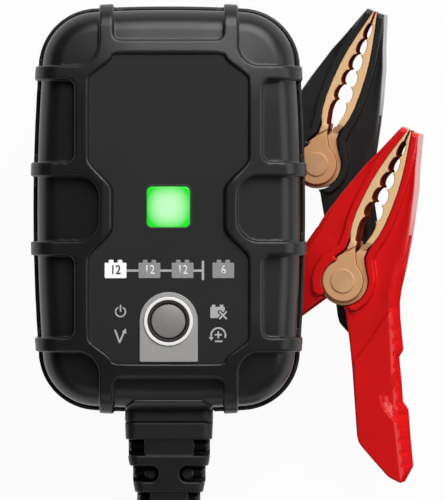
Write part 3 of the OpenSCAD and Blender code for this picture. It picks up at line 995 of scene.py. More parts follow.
STEEL = Metal("spring_steel", (166, 168, 172), rough=0.3)
ZINC = Metal("screw_zinc", (178, 180, 184), rough=0.34, line_mm=0.4)
ALUMINIUM = Metal("heat_sink_aluminium", (196, 198, 202), rough=0.35, lines=(1.0, 1.0, 0.15))
GREEN_LENS = LitLens("lens_green_lit", (28, 222, 40))
LAMP_WHITE = Lamp("lamp_white_lit", (246, 246, 244), glow=0.35)
# Painted glow: the unlit battery windows are not lit, but they glow faintly.
LAMP_GREY_PAINTED_GLOW = Lamp("lamp_grey_unlit", (150, 150, 150), glow=0.1)
LED_CHIP = Lamp("led_chip_yellow", (240, 236, 190), glow=0.2)
BOARD_GREEN = Board("board_green_mask", (22, 84, 46))
WINDING = Wound("winding_yellow_tape", (206, 170, 52), band_mm=1.4)
WIRE_RED = Moulded("wire_red_jacket", (176, 30, 34), rough=0.4, grain_depth=0.006)
TIE_CLOTH = Woven("tie_woven_black", (40, 40, 43))


def dress(piece: Piece, finish: Finish) -> Piece:
    """Gives every slot of an object one finish.

    Args:
        piece: the object.
        finish: the finish.

    Returns:
        The object.
    """
    materials = piece.data.materials
    if not materials:
        materials.append(finish.material())
    for index in range(len(materials)):
        materials[index] = finish.material()
    return piece


def make(
    name: str,
    form: Form,
    grid: Grid,
    finish: Finish,
    slot: str,
    *nodes: str,
    body: Body = Body.CHARGER,
    place: Matrix | None = None,
) -> Piece:
    """Makes a finished piece from a solid.

    Args:
        name: name of the piece.
        form: the solid.
        grid: where it is and how finely it is meshed.
        finish: its finish.
        slot: the frame's material slot that it is in.
        nodes: the frame's nodes that it stands for.
        body: the frame's body that it rides on.
        place: turn and shift from its own axes to the frame, in mm.

    Returns:
        The piece.
    """
    return hand_over(dress(solid(name, form, grid, place), finish), slot, *nodes, body=body)


# ---------- repeated shapes, by Geometry Nodes ----------


@dataclass(frozen=True)
class Stamp:
    """One shape repeated at a list of points by a Geometry Nodes tree."""

    name: str
    shape: Piece
    finish: Finish

    def _tree(self) -> bpy.types.NodeTree:
        """Builds the tree: instances on points, turned about z, realised and dressed.

        Returns:
            The tree.
        """
        tree = bpy.data.node_groups.new(f"{self.name}_stamp", "GeometryNodeTree")
        bench = Bench(tree)
        sockets = tree.interface
        sockets.new_socket("Points", in_out="INPUT", socket_type="NodeSocketGeometry")
        sockets.new_socket("Shape", in_out="INPUT", socket_type="NodeSocketObject")
        sockets.new_socket("Scale", in_out="INPUT", socket_type="NodeSocketFloat")
        sockets.new_socket("Geometry", in_out="OUTPUT", socket_type="NodeSocketGeometry")
        given = tree.nodes.new("NodeGroupInput")
        points, shape, scale = (Wire(bench, socket) for socket in list(given.outputs)[:3])
        info = bench.node("GeometryNodeObjectInfo", None, {"Object": shape}, "Geometry")
        turn = bench.node("GeometryNodeInputNamedAttribute", {"data_type": "FLOAT"}, {"Name": "turn"})
        angles = bench.node("ShaderNodeCombineXYZ", None, {"Z": turn})
        placed = bench.node(
            "GeometryNodeInstanceOnPoints",
            None,
            {"Points": points, "Instance": info, "Rotation": angles, "Scale": scale},
        )
        real = bench.node("GeometryNodeRealizeInstances", None, {"Geometry": placed})
        dressed = bench.node(
            "GeometryNodeSetMaterial", None, {"Geometry": real, "Material": self.finish.material()}
        )
        bench.node("NodeGroupOutput", None, {0: dressed})
        return tree

    def repeat(self, places: Sequence[tuple[Point3, float]], scale: float = 1.0) -> Piece:
        """Repeats the shape.

        Args:
            places: where each one goes, in mm, and its turn about z in degrees.
            scale: size of each one.

        Returns:
            One mesh object with all of them; the shape's own object is deleted.
        """
        mesh = bpy.data.meshes.new(self.name)
        mesh.from_pydata([Vector(at) * MM for at, _ in places], [], [])
        turns = mesh.attributes.new("turn", "FLOAT", "POINT")
        turns.data.foreach_set("value", [math.radians(angle) for _, angle in places])
        piece = new_object(self.name, mesh)
        modifier = piece.modifiers.new("stamp", "NODES")
        modifier.node_group = self._tree()
        items = {item.name: item.identifier for item in modifier.node_group.interface.items_tree}
        modifier[items["Shape"]] = self.shape
        modifier[items["Scale"]] = scale
        bake_modifiers(piece)
        bpy.data.objects.remove(self.shape)
        return dress(piece, self.finish)


# ---------- camera, floor and light ----------


@dataclass(frozen=True)
class Studio:
    """The camera, the floor and soft light from above."""

    camera_at: Point3 = (11.4, -8.8, 1037.4)
    lens_mm: float = 338.4
    sensor_mm: float = 36.0
    clip: Point2 = (0.05, 20.0)
    floor_half: float = 2500.0
    floor_white: float = 0.95
    aim: Point3 = (12, -9, 20)
    # Name, place, width and power in watts of each lamp.
    lamps: tuple[tuple[str, Point3, float, float], ...] = (
        ("key_softbox", (260, 810, 1000), 980, 16.6),
        ("side_softbox", (900, 60, 760), 640, 2.6),
        ("low_fill", (-160, -900, 760), 700, 1.0),
    )

    def build(self) -> None:
        """Makes the camera, the floor, the world and the lamps."""
        self._camera()
        self._floor()
        self._world()
        for lamp in self.lamps:
            self._lamp(*lamp)

    def _camera(self) -> None:
        """A long lens straight above the charger, with the top of the charger up."""
        data = bpy.data.cameras.new("camera")
        data.lens = self.lens_mm
        data.sensor_width = self.sensor_mm
        data.clip_start, data.clip_end = self.clip
        camera = new_object("camera", data)
        camera.location = Vector(self.camera_at) * MM
        bpy.context.scene.camera = camera
        bpy.context.scene.view_settings.view_transform = "Standard"

    def _floor(self) -> None:
        """A plain white floor that keeps the shadow."""
        h = self.floor_half
        corners = np.array([(-h, -h, TABLE_Z), (h, -h, TABLE_Z), (h, h, TABLE_Z), (-h, h, TABLE_Z)])
        floor = new_object("floor", new_mesh("floor", corners, np.array([[0, 1, 2, 3]])))
        paper = bpy.data.materials.new("floor_paper")
        paper.use_nodes = True
        paper.node_tree.nodes.clear()
        bench = SurfaceBench(paper.node_tree)
        lit = bench.node("ShaderNodeBsdfDiffuse", None, {"Color": linear(246, 246, 246)})
        glow = bench.node("ShaderNodeEmission", None, {"Color": (1.0, 1.0, 1.0, 1.0), "Strength": 1.0})
        shown = self._shown(bench) * self.floor_white
        mixed = bench.node("ShaderNodeMixShader", None, {0: shown, 1: lit, 2: glow})
        bench.node("ShaderNodeOutputMaterial", None, {"Surface": mixed})
        floor.data.materials.append(paper)

    def _shown(self, bench: Bench) -> Wire:
        """1 for rays that show the background, otherwise 0."""
        kinds = ("Is Camera Ray", "Is Glossy Ray", "Is Transmission Ray")
        return reduce(Wire.larger, (bench.node("ShaderNodeLightPath", output=kind) for kind in kinds))

    def _world(self) -> None:
        """A horizon that is whiter on the right and a dimmer ceiling, so that gloss has something to show."""
        world = bpy.data.worlds.new("studio")
        bpy.context.scene.world = world
        world.use_nodes = True
        world.node_tree.nodes.clear()
        bench = SurfaceBench(world.node_tree)
        direction = bench.node("ShaderNodeTexCoord", output="Generated")
        across, height = (bench.node("ShaderNodeSeparateXYZ", None, {"Vector": direction}, i) for i in (0, 2))
        ceiling = bench.node("ShaderNodeMapRange", None, {0: height, 1: 0.03, 2: 0.22, 3: 1.0, 4: 0.09})
        side = bench.node("ShaderNodeMapRange", None, {0: across, 1: -0.8, 2: 0.0, 3: 0.15, 4: 1.0})
        camera = bench.node("ShaderNodeLightPath", output="Is Camera Ray")
        strength = ceiling * side * (1 - camera) + camera
        sky = bench.node("ShaderNodeBackground", None, {"Color": (1.0, 1.0, 1.0, 1.0), "Strength": strength})
        bench.node("ShaderNodeOutputWorld", None, {"Surface": sky})

    def _lamp(self, name: str, at: Point3, size: float, power: float) -> None:
        """A square soft lamp that points at the charger.

        Args:
            name: name of the lamp.
            at: where it is.
            size: its width in mm.
            power: its power in watts.
        """
        data = bpy.data.lights.new(name, "AREA")
        data.shape = "SQUARE"
        data.size = size * MM
        data.energy = power
        lamp = new_object(name, data)
        lamp.location = Vector(at) * MM
        aim = Vector(self.aim) * MM - lamp.location
        lamp.rotation_euler = aim.to_track_quat("-Z", "Y").to_euler()


# ---------- leads ----------


def through(points: Sequence[Point3], spacing: float = 2.0) -> list[Vector]:
    """A smooth line through all points.

    Args:
        points: the points that it passes.
        spacing: about how far apart the new points are.

    Returns:
        The points of the line.
    """
    given = [Vector(p) for p in points]
    ends = [2 * given[0] - given[1], *given, 2 * given[-1] - given[-2]]
    line = []
    for before, a, b, after in zip(ends, ends[1:], ends[2:], ends[3:]):
        count = max(2, round((b - a).length / spacing))
        for i in range(count):
            t = i / count
            first = 2 * a + (b - before) * t
            second = (2 * before - 5 * a + 4 * b - after) * t * t
            third = (3 * a - before - 3 * b + after) * t**3
            line.append((first + second + third) / 2)
    return [*line, given[-1]]


def cord_curve(name: str, line: Sequence[Vector], diameter: float, finish: Finish) -> Piece:
    """A round cord along a line, as a curve of one spline.

    Args:
        name: name of the cord.
        line: points of its middle, in mm.
        diameter: its diameter.
        finish: its finish.

    Returns:
        The curve object.
    """
    data = bpy.data.curves.new(name, "CURVE")
    data.dimensions = "3D"
    data.bevel_depth = diameter / 2 * MM
    data.bevel_resolution = 5
    data.use_fill_caps = True
    spline = data.splines.new("POLY")
    spline.points.add(len(line) - 1)
    for point, at in zip(spline.points, line):
        point.co = (*(at * MM), 1.0)
    spline.use_smooth = True
    data.materials.append(finish.material())
    return new_object(name, data)


@dataclass(frozen=True)
class Coil:
    """The lead's spare length, wound in layers of two turns."""

    centre: Point2 = (34.0, -130.0)
    outer: float = 30.5
    pitch: float = 5.0
    layers: int = 4
    lead_in: float = 34.3
    start_deg: float = 193.5
    points_per_turn: int = 28
    # Part of a turn over which the lead climbs to the next one.
    step_up: float = 0.25

    def _turn(self, number: int) -> Point2:
        """Radius and height of one turn.

        Args:
            number: number of the turn, from the table up.

        Returns:
            The radius and the height of its middle.
        """
        layer, inner = divmod(number, 2)
        inner = 1 - inner if layer % 2 else inner
        return self.outer - self.pitch * inner, TABLE_Z + self.pitch / 2 + self.pitch * layer

    def line(self) -> list[Vector]:
        """Points of the coil.

        Returns:
            The points, from where the lead runs in to where it leaves.
        """
        turns = 2 * self.layers
        sweep = 360 * turns + 90 - self.start_deg
        count = round(sweep / 360 * self.points_per_turn)
        start = self.start_deg / 360 - 0.5
        points = []
        for i in range(1, count):
            angle = self.start_deg + sweep * i / count
            number, part = divmod((angle - 180) / 360, 1)
            radius, height = self._turn(int(number))
            if number == 0 and part < self.step_up:
                arrived = rise((part - start) / (self.step_up - start))
                radius = self.lead_in + (radius - self.lead_in) * arrived
            if part > 1 - self.step_up and number < turns - 1:
                to_radius, to_height = self._turn(int(number) + 1)
                step = rise((part - 1 + self.step_up) / self.step_up)
                radius += (to_radius - radius) * step
                height += (to_height - height) * step
            out = Matrix.Rotation(math.radians(angle), 2) @ Vector((radius, 0))
            points.append(Vector((*(Vector(self.centre) + out), height)))
        return points


@dataclass(frozen=True)
class Connector:
    """One half of the in-line connector, lying on the table with grip grooves in its sides."""

    name: str
    near_y: float
    width: float
    height: float
    length: float = 17.0
    x: float = -28.0
    grooves: int = 4
    groove_pitch: float = 2.4
    first_groove: float = 4.5
    groove_half: Point3 = (0.45, 0.5, 9)
    # Distance from the near end, half width and length of the arrow.
    arrow: Point3 = (12.0, 1.6, 3.0)
    sunk: float = 0.3

    def build(self) -> Piece:
        """Makes the half and lays it on the table.

        Returns:
            The half, dressed.
        """
        half, top = self.width / 2, TABLE_Z + self.height
        centre = (self.x, self.near_y - self.length / 2, TABLE_Z + self.height / 2)
        form = rounded_box(centre, (half, self.length / 2, self.height / 2), 1.2)
        for i, x in product(range(self.grooves), (self.x - half, self.x + half)):
            at = (x, self.near_y - self.first_groove - self.groove_pitch * i, centre[2])
            form = form.cut(rounded_box(at, self.groove_half, 0.3), 0.2)
        back, side, long = self.arrow
        y = self.near_y - back
        arrow = polygon([(self.x - side, y), (self.x + side, y), (self.x, y - long)])
        form = form.cut(arrow.within(above(top - self.sunk)), 0.1)
        low, high = (self.x - half, self.near_y - self.length, TABLE_Z), (self.x + half, self.near_y, top)
        grid = Grid(low, high, (0.3, 0.3, 0.3))
        return make(f"{self.name}_grooved", form, grid, BASE_BLACK, "case_black", self.name)


@dataclass(frozen=True)
class Leads:
    """The coiled low-voltage lead and the two single leads of the clamps."""

    lead_d: float = 5.0
    single_d: float = 3.4
    lead_route: Route = (
        (0, -79, 21), (0, -83, 20.8), (0, -90, 19), (0, -98, 15.5), (0, -106, 9), (0, -113, 1.5),
        (0, -119, -5.5), (0, -125, -11), (0, -131, -14.2), (0.6, -138, -15),
    )
    tail_route: Route = (
        (34, -99.5, 0), (24, -99, -0.8), (13, -99, -3), (2, -99.2, -6), (-8, -100, -9),
        (-15.5, -101.8, -11.4), (-21.8, -106, -13.6), (-26, -112, -14.8), (-28, -119, -15), (-28, -123, -15),
    )
    red_route: Route = (
        (-30.4, -157, -14.6), (-30.4, -160.5, -15.5), (-29, -166, -15.8), (-25.2, -170.4, -15.8),
        (-19.6, -172.6, -15.8), (-13.6, -171.8, -15.8), (-8.8, -168.2, -15.8), (-6, -162.6, -15.8),
        (-5.4, -155, -15.8), (-5.3, -143, -15.8), (-5.2, -130, -15.8), (-4.8, -117, -15.8), (-4, -104, -15.8),
        (-2.6, -91, -15.8), (-0.6, -79, -15.8), (1.4, -68, -15.8), (2.2, -59, -15.2), (2, -51.5, -12.6),
        (1.4, -45.6, -8.6), (2.2, -40.6, -4.9), (4.6, -37.2, -3.2), (8, -34.9, -2.2), (11, -33.2, -1.7),
    )
    black_route: Route = (
        (-25.6, -157, -14.6), (-25.6, -160, -15.5), (-24, -164, -15.8), (-20.4, -166.6, -15.8),
        (-16, -166.8, -15.8), (-12.2, -164.4, -15.8), (-10.2, -160, -15.8), (-9.8, -153, -15.8),
        (-9.7, -142, -15.8), (-9.6, -129, -15.8), (-9.4, -116, -15.8), (-9, -103, -15.8), (-8.2, -90, -15.8),
        (-7, -77, -15.8), (-6, -66, -15.8), (-6, -56, -15.8), (-7.4, -47, -15.8), (-10.4, -39, -15.8),
        (-13.4, -31.5, -15.6), (-13.4, -24, -14.8), (-9.6, -18.4, -13.4), (-4.4, -14.8, -12.4),
        (1.2, -11.7, -11.8), (6, -8.6, -11),
    )

    def build(self) -> None:
        """Makes the three leads and the connector between them."""
        plug = Connector("lead_plug", -123.0, 10.6, 6.8).build()
        socket = Connector("clamp_socket", -140.0, 11.6, 7.4).build()
        tie = dress(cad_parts["coil_tie"], TIE_CLOTH)
        line = [*through(self.lead_route), *Coil().line(), *through(self.tail_route)]
        lead = cord_curve("charger_lead_jacket", line, self.lead_d, LEAD_RUBBER)
        hand_over(lead, "lead_black", "charger_lead", "lead_coil")
        for name, route, finish, slot in (
            ("red_lead", self.red_route, RED_JACKET, "red_rubber"),
            ("black_lead", self.black_route, LEAD_RUBBER, "lead_black"),
        ):
            single = through(route)
            piece = cord_curve(f"{name}_jacket", single, self.single_d, finish)
            hand_over(piece, slot, name)


# ---------- housing ----------


def eased_line(start: Point2, end: Point2, steps: int = 10) -> list[Point2]:
    """An S-curve between two points, eased along y."""
    (x, y), (far_x, far_y) = start, end
    return [(x + (far_x - x) * rise(i / steps), y + (far_y - y) * i / steps) for i in range(steps + 1)]


def all_round(part: Sequence[Point2]) -> list[Point2]:
    """A closed outline from its upper right quarter, given downwards."""
    half = [*part, *((x, -y) for x, y in reversed(part))]
    return [*half, *((-x, y) for x, y in reversed(half))]


@dataclass(frozen=True)
class Case:
    """Outlines that both shells and the face share."""

    half_width: float = 29.4
    half_height: float = 43.9
    corner: float = 12.8
    side_bow: float = 420.0
    end_bow: float = 286.0
    rim_in: float = 1.25
    rib_half: float = 1.5
    rib_proud: float = 0.2
    side_ribs: tuple[float, ...] = (29.0, 8.45, -8.45, -29.0)
    end_ribs: tuple[float, ...] = (13.3, -13.3)
    # Past this x only side ribs count, and past this y only end ribs.
    rib_zone: Point2 = (20.4, 36.2)
    window_half_width: float = 17.4
    waist_half_width: float = 12.1
    window_half_height: float = 33.3
    # x and drop from the window's top of the two points that begin its chamfer.
    window_shoulder: Line = ((11.2, 0.0), (12.2, 0.4))
    window_drop: float = 5.8
    waist_y: Point2 = (10.9, 3.8)
    frame_width: float = 2.6
    pocket_corner: float = 1.7
    round_corner: float = 4.6
    screws: tuple[Point2, ...] = ((21.6, 30.8), (-21.6, 30.8), (21.6, -30.8), (-21.6, -30.8))
    boot_at: Point3 = (0, -60, SEAM_Z)
    boot_halves: tuple[Point3, ...] = ((8.2, 21.4, 7.2), (9.6, 18.5, 8.1))
    boot_edge: float = 1.2

    def corner_at(self) -> Point2:
        """Middle of the corner arc that runs smoothly into the side bow and the end bow.

        Returns:
            The middle in the upper right quarter.
        """
        side, end = self.side_bow - self.half_width, self.end_bow - self.half_height
        to_side, to_end = self.side_bow - self.corner, self.end_bow - self.corner
        apart = math.hypot(side, end)
        along = (to_side**2 - to_end**2 + apart**2) / (2 * apart)
        across = math.sqrt(to_side**2 - along**2)
        return (along * side + across * end) / apart - side, (across * side - along * end) / apart

    def outline(self, by: float = 0.0) -> Form:
        """The housing seen from the front, with bowed sides and round corners.

        Args:
            by: how far the outline is moved outwards.

        Returns:
            An upright bar of that outline.
        """
        side_at, end_at = self.half_width - self.side_bow, self.half_height - self.end_bow
        cx, cy = self.corner_at()

        def distance(u: Array, v: Array, z: Array) -> Array:
            """Distance to the bar in its first quarter.

            Args:
                u: x without its sign.
                v: y without its sign.
                z: upwards.

            Returns:
                The distance.
            """
            side, end = np.hypot(u - side_at, v) - self.side_bow, np.hypot(u, v - end_at) - self.end_bow
            past_side = (v - cy) * (cx - side_at) > (u - cx) * cy
            past_end = (u - cx) * (cy - end_at) > (v - cy) * cx
            arc = np.hypot(u - cx, v - cy) - self.corner
            return np.where(past_side & past_end, arc, np.maximum(side, end)) - by

        return Form(distance).folded()

    def trace(self, by: float, count: int = 480) -> Array:
        """Points round the outline, found by halving along rays from the middle.

        Args:
            by: how far the outline is moved outwards.
            count: how many points.

        Returns:
            One row a point.
        """
        outline = self.outline(by)
        angle = np.arange(count) * (2 * np.pi / count)
        along = np.stack([np.cos(angle), np.sin(angle)])
        near, far = np.full(count, 20.0), np.full(count, 60.0)
        for _ in range(30):
            middle = (near + far) / 2
            inside = outline.at(middle * along[0], middle * along[1], 0 * angle) < 0
            near, far = np.where(inside, middle, near), np.where(inside, far, middle)
        return (near * along).T

    def window(self) -> Form:
        """The waisted window of the face.

        Returns:
            An upright bar of that outline.
        """
        wide, narrow, top = self.window_half_width, self.waist_half_width, self.window_half_height
        first, second = ((x, top - down) for x, down in self.window_shoulder)
        chamfer = eased_line(second, (wide, top - self.window_drop), 6)
        waist = eased_line((wide, self.waist_y[0]), (narrow, self.waist_y[1]))
        return polygon(all_round([first, *chamfer, *waist]))

    def pockets(self) -> Form:
        """The sunk fields between the window frame and the ribs, alike in all four quarters.

        Returns:
            Upright bars, open towards the outside.
        """
        reach, half, small, large = 20.0, self.rib_half, self.pocket_corner, self.round_corner
        end_rib, low_rib, high_rib = self.end_ribs[0], self.side_ribs[1], self.side_ribs[0]
        top = self.window_half_height + self.frame_width
        side = self.window_half_width + self.frame_width
        waist = self.waist_half_width + self.frame_width
        middle, tall = (low_rib + high_rib) / 2, (high_rib - low_rib) / 2 - half
        fields = (
            rounded_rectangle(end_rib - half, reach, small).moved(0.0, top + reach),
            rounded_rectangle(reach, reach, large).moved(end_rib + half + reach, high_rib + half + reach),
            rounded_rectangle(reach, tall, small).moved(side + reach, middle),
            rounded_rectangle(reach, low_rib - half, large).moved(waist + reach, 0.0),
        )
        return reduce(Form.join, fields).folded()

    def rib_strips(self) -> Form:
        """Strips where the bumper ribs run over the edge, side ribs and end ribs apart.

        Returns:
            The strips, endless across the edge.
        """
        side_ribs = reduce(Form.join, (slab(at, self.rib_half, 1) for at in self.side_ribs))
        end_ribs = reduce(Form.join, (slab(at, self.rib_half, 0) for at in self.end_ribs))

        def distance(x: Array, y: Array, z: Array) -> Array:
            """Distance to the nearest strip that counts at this point.

            Args:
                x: across.
                y: along.
                z: upwards.

            Returns:
                The distance.
            """
            side, end = side_ribs.at(x, y, z), end_ribs.at(x, y, z)
            either = np.where(np.abs(x) > self.rib_zone[0], side, np.minimum(side, end + 40))
            return np.where(np.abs(y) > self.rib_zone[1], end, either)

        return Form(distance)

    def boot_opening(self) -> Form:
        """What both shells leave open for the lead's boot."""
        boxes = (rounded_box(self.boot_at, half, self.boot_edge) for half in self.boot_halves)
        return reduce(Form.join, boxes)

    def box(self, low: float, high: float, margin: Point2 = (0.3, 0.3)) -> tuple[Point3, Point3]:
        """Corners of the housing's box between two heights, with a margin in x and y."""
        x, y = self.half_width + margin[0], self.half_height + margin[1]
        return (-x, -y, low), (x, y, high)


CASE = Case()
HOLLOW_CELL = (0.8, 0.8, 0.8)


@dataclass(frozen=True)
class FrontShell:
    """The pillow-shaped front shell with its raised window frame and bumper ribs."""

    crown_z: float = 38.8
    pocket_z: float = 35.95
    slope: float = 0.16
    level: Plan = (14.0, 30.0, 8.0)
    plate_floor: float = 35.8
    lip_z: float = 37.42
    lip_top: float = 38.5
    crown_edge: float = 5.0
    pocket_edge: float = 4.4
    collar: Line = (
        (-7.4, -41.0), (7.4, -41.0), (9.3, -42.4), (9.3, -46), (-9.3, -46), (-9.3, -42.4),
    )
    post_r: float = 2.6
    # Lower and upper end of the screw posts.
    post_z: Point2 = (9.1, 32.5)
    cell: Point3 = (0.25, 0.25, 0.36)

    def _dome(self, top: float) -> Form:
        """All space under a roof that is level in the middle and falls away towards the edge."""
        middle = rounded_rectangle(*self.level)
        return Form(lambda x, y, z: (z - top + self.slope * np.maximum(middle.at(x, y, z), 0)) * 0.985)

    def _recess(self) -> Form:
        """The window, with a sloped lip that stands over the edge of the face plate.

        Returns:
            What is cut away.
        """
        slope = Form(lambda x, y, z: np.where(z > self.lip_z, 0.5 * (self.lip_top - z), 0.0))
        window = CASE.window()
        return Form(lambda *at: window.at(*at) + slope.at(*at)).within(above(self.plate_floor))

    def form(self) -> Form:
        """The outside of the shell: pillow, collar round the boot, frame and ribs.

        Returns:
            The shell without its hollow.
        """
        envelope = CASE.outline(CASE.rib_proud).within(self._dome(self.crown_z), self.crown_edge)
        raised = envelope.cut(CASE.pockets(), 0.4).within(above(SEAM_Z))
        pillow = CASE.outline(-CASE.rim_in).within(self._dome(self.pocket_z), self.pocket_edge)
        collar = CASE.outline(-0.75).within(self._dome(self.pocket_z), 4.2).within(polygon(self.collar), 0.2)
        base = above(SEAM_Z + 0.4)
        shell = pillow.within(base, 0.35).join(collar.within(base), 0.2).join(raised, 0.2)
        return shell.cut(self._recess(), 0.3).cut(CASE.boot_opening(), 0.2)

    def _cavity(self) -> Form:
        """The room inside the shell.

        Returns:
            What is cut away.
        """
        rooms = (
            (CASE.outline(-3.25), 15, 30, 0.5),
            (CASE.outline(-6.65), 24, 33.4, 0.5),
            (CASE.window().grown(-1.5), 30, 40),
        )
        return reduce(Form.join, (plate(*room) for room in rooms))

    def build(self) -> None:
        """Makes the shell with its screw posts."""
        shell = solid("front_shell", self.form(), Grid(*CASE.box(SEAM_Z, self.crown_z + 0.1), self.cell))
        carve(shell, solid("cavity", self._cavity(), Grid((-27, -42, 15), (27, 42, 40), HOLLOW_CELL)))
        r, (low, high) = self.post_r, self.post_z
        post = plate(disc(r), 0, high - low).cut(plate(disc(1.4), -1, 8))
        grid = Grid((-r - 0.1, -r - 0.1, 0), (r + 0.1, r + 0.1, high - low), (0.5, 0.5, 0.8))
        posts = Stamp("screw_posts", solid("post", post, grid), CASE_BLACK)
        posts = posts.repeat([((x, y, low), 0.0) for x, y in CASE.screws])
        shell = dress(lighten(merge("front_shell_pillow", shell, posts)), CASE_BLACK)
        hand_over(shell, "case_black", "front_shell")


@dataclass(frozen=True)
class RearShell:
    """The rear shell, a shallow tub with the bumper ribs carried round its edge."""

    back_z: float = 7.0
    wall: float = 2.0
    # Distance of the posts from the middle in x and y, and the height of their feet.
    board_posts: Point3 = (15.0, 30.0, 9.0)
    # Their radius and height.
    board_post_size: Point2 = (2.2, 2.4)
    plug_plan: Plan = (11, 8, 0.6)
    label_plan: Plan = (15, 10, 1.5)
    block_half: Point3 = (0.42, 0.9, 0.55)
    block_inset: float = 0.65
    block_beside: float = 2.5
    # Distance outwards from the outline and upwards from the seam, round the lip's section.
    lip: Line = ((-0.38, -0.3), (-0.38, 0.22), (-0.66, 0.22), (-0.66, -0.3))

    def _tub(self, plan: Form, low: float, edge: float) -> Form:
        """A plan up to the seam whose lower edge is round."""
        return plan.within(above(low), edge).within(below(SEAM_Z), 0.12)

    def form(self) -> Form:
        """The outside of the shell.

        Returns:
            The shell without its hollow.
        """
        ribs = self._tub(CASE.outline(CASE.rib_proud), self.back_z + 0.4, 3.4).within(CASE.rib_strips(), 0.5)
        shell = self._tub(CASE.outline(), self.back_z, 3.2).join(ribs, 0.3)
        shell = shell.cut(CASE.outline(-1.15).within(above(SEAM_Z - 1.4)), 0.1).cut(CASE.boot_opening(), 0.2)
        for at in CASE.screws:
            shell = shell.cut(plate(disc(2.9, at), 0, 8.3), 0.3).cut(disc(1.6, at))
        label = plate(rounded_rectangle(*self.label_plan).moved(y=-21), 0, self.back_z + 0.25)
        return shell.cut(rounded_rectangle(*self.plug_plan).moved(y=14)).cut(label, 0.1)

    def _cavity(self) -> Form:
        """The room inside the shell."""
        low = plate(CASE.outline(-self.wall - 1.6), 9, 14)
        return low.join(plate(CASE.outline(-self.wall), 11, 30))

    def build(self) -> None:
        """Makes the shell, its corner posts and the blocks in the channel beside each rib."""
        shell = solid("rear_shell", self.form(), Grid(*CASE.box(self.back_z, SEAM_Z), (0.32, 0.32, 0.36)))
        carve(shell, solid("cavity", self._cavity(), Grid((-28, -42, 9), (28, 42, 30), HOLLOW_CELL)))
        (r, height), (across, along, floor) = self.board_post_size, self.board_posts
        grid = Grid((-r - 0.1, -r - 0.1, 0), (r + 0.1, r + 0.1, height), (0.4, 0.4, 0.4))
        posts = Stamp("board_posts", solid("post", plate(disc(r), 0, height), grid), REAR_BLACK)
        posts = posts.repeat([((x, y, floor), 0.0) for x in (-across, across) for y in (-along, along)])
        shell = lighten(merge("rear_shell_tub", shell, posts, self._seam_blocks(), self._seam_lip()))
        hand_over(dress(shell, REAR_BLACK), "case_black", "rear_shell")

    def _seam_lip(self) -> Piece:
        """A fine lip that runs round the tub's edge.

        Returns:
            The lip, as a closed mesh object.
        """
        traces = [(CASE.trace(by), SEAM_Z + up) for by, up in self.lip]
        rings = [np.column_stack([ring, np.full(len(ring), z)]) for ring, z in traces]
        count = len(rings[0])
        around = np.arange(count)
        beyond = (around + 1) % count
        quads = []
        for index in range(len(rings)):
            here, there = index * count, (index + 1) % len(rings) * count
            quads.append(np.stack([here + around, here + beyond, there + beyond, there + around], 1))
        mesh = new_mesh("seam_lip", np.concatenate(rings), np.concatenate(quads))
        close_mesh(mesh)
        return new_object("seam_lip", mesh)

    def _seam_blocks(self) -> Piece:
        """Small blocks on the tub's edge that key the two shells together beside each rib.

        Returns:
            One mesh object with all of them.
        """
        grid = Grid((-0.45, -0.95, -0.6), (0.45, 0.95, 0.6), (0.15, 0.15, 0.15))
        shape = solid("block", rounded_box((0, 0, 0), self.block_half, 0.15), grid)
        pairs = list(product((-1, 1), (-self.block_beside, self.block_beside)))
        places = []
        for y in CASE.side_ribs:
            x = CASE.half_width - self.block_inset - abs(y) ** 2 / (2 * CASE.side_bow)
            places += [((side * x, y + beside, SEAM_Z + 0.3), 0.0) for side, beside in pairs]
        for x in CASE.end_ribs:
            y = CASE.half_height - self.block_inset - (abs(x) + 1) ** 2 / (2 * CASE.end_bow)
            places += [((x + beside, side * y, SEAM_Z + 0.3), 90.0) for side, beside in pairs]
        return Stamp("seam_blocks", shape, REAR_BLACK).repeat(places)


# ---------- face ----------


def close_mesh(mesh: bpy.types.Mesh) -> None:
    """Merges a mesh's doubles and turns its faces outwards.

    Args:
        mesh: the mesh, changed in place.
    """
    work = bmesh.new()
    work.from_mesh(mesh)
    bmesh.ops.remove_doubles(work, verts=work.verts, dist=1e-7)
    bmesh.ops.recalc_face_normals(work, faces=work.faces)
    work.to_mesh(mesh)
    work.free()


@dataclass(frozen=True)
class Digits:
    """Plain numbers on the battery lights."""

    height: float = 1.85
    body_factor: float = 1.46
    narrow: float = 0.84
    swell: float = 0.05
    half_thick: float = 0.02

    def build(self, text: str, centre: Point2, z: float) -> Piece:
        """Makes one number.

        Args:
            text: the digits.
            centre: middle of the digits.
            z: height of their underside.

        Returns:
            The digits, as a mesh object.
        """
        data = bpy.data.curves.new(f"digits_{text}", "FONT")
        data.body = text
        data.size = self.height * self.body_factor * MM
        data.align_x = data.align_y = "CENTER"
        data.extrude = self.half_thick * MM
        data.offset = self.swell * MM
        made = new_object(data.name, data)
        mesh = evaluated_mesh(made)
        bpy.data.objects.remove(made)
        narrower = Matrix.Diagonal((self.narrow, 1, 1, 1))
        mesh.transform(Matrix.Translation(Vector((*centre, z + self.half_thick)) * MM) @ narrower)
        close_mesh(mesh)
        return new_object(f"digits_{text}", mesh)


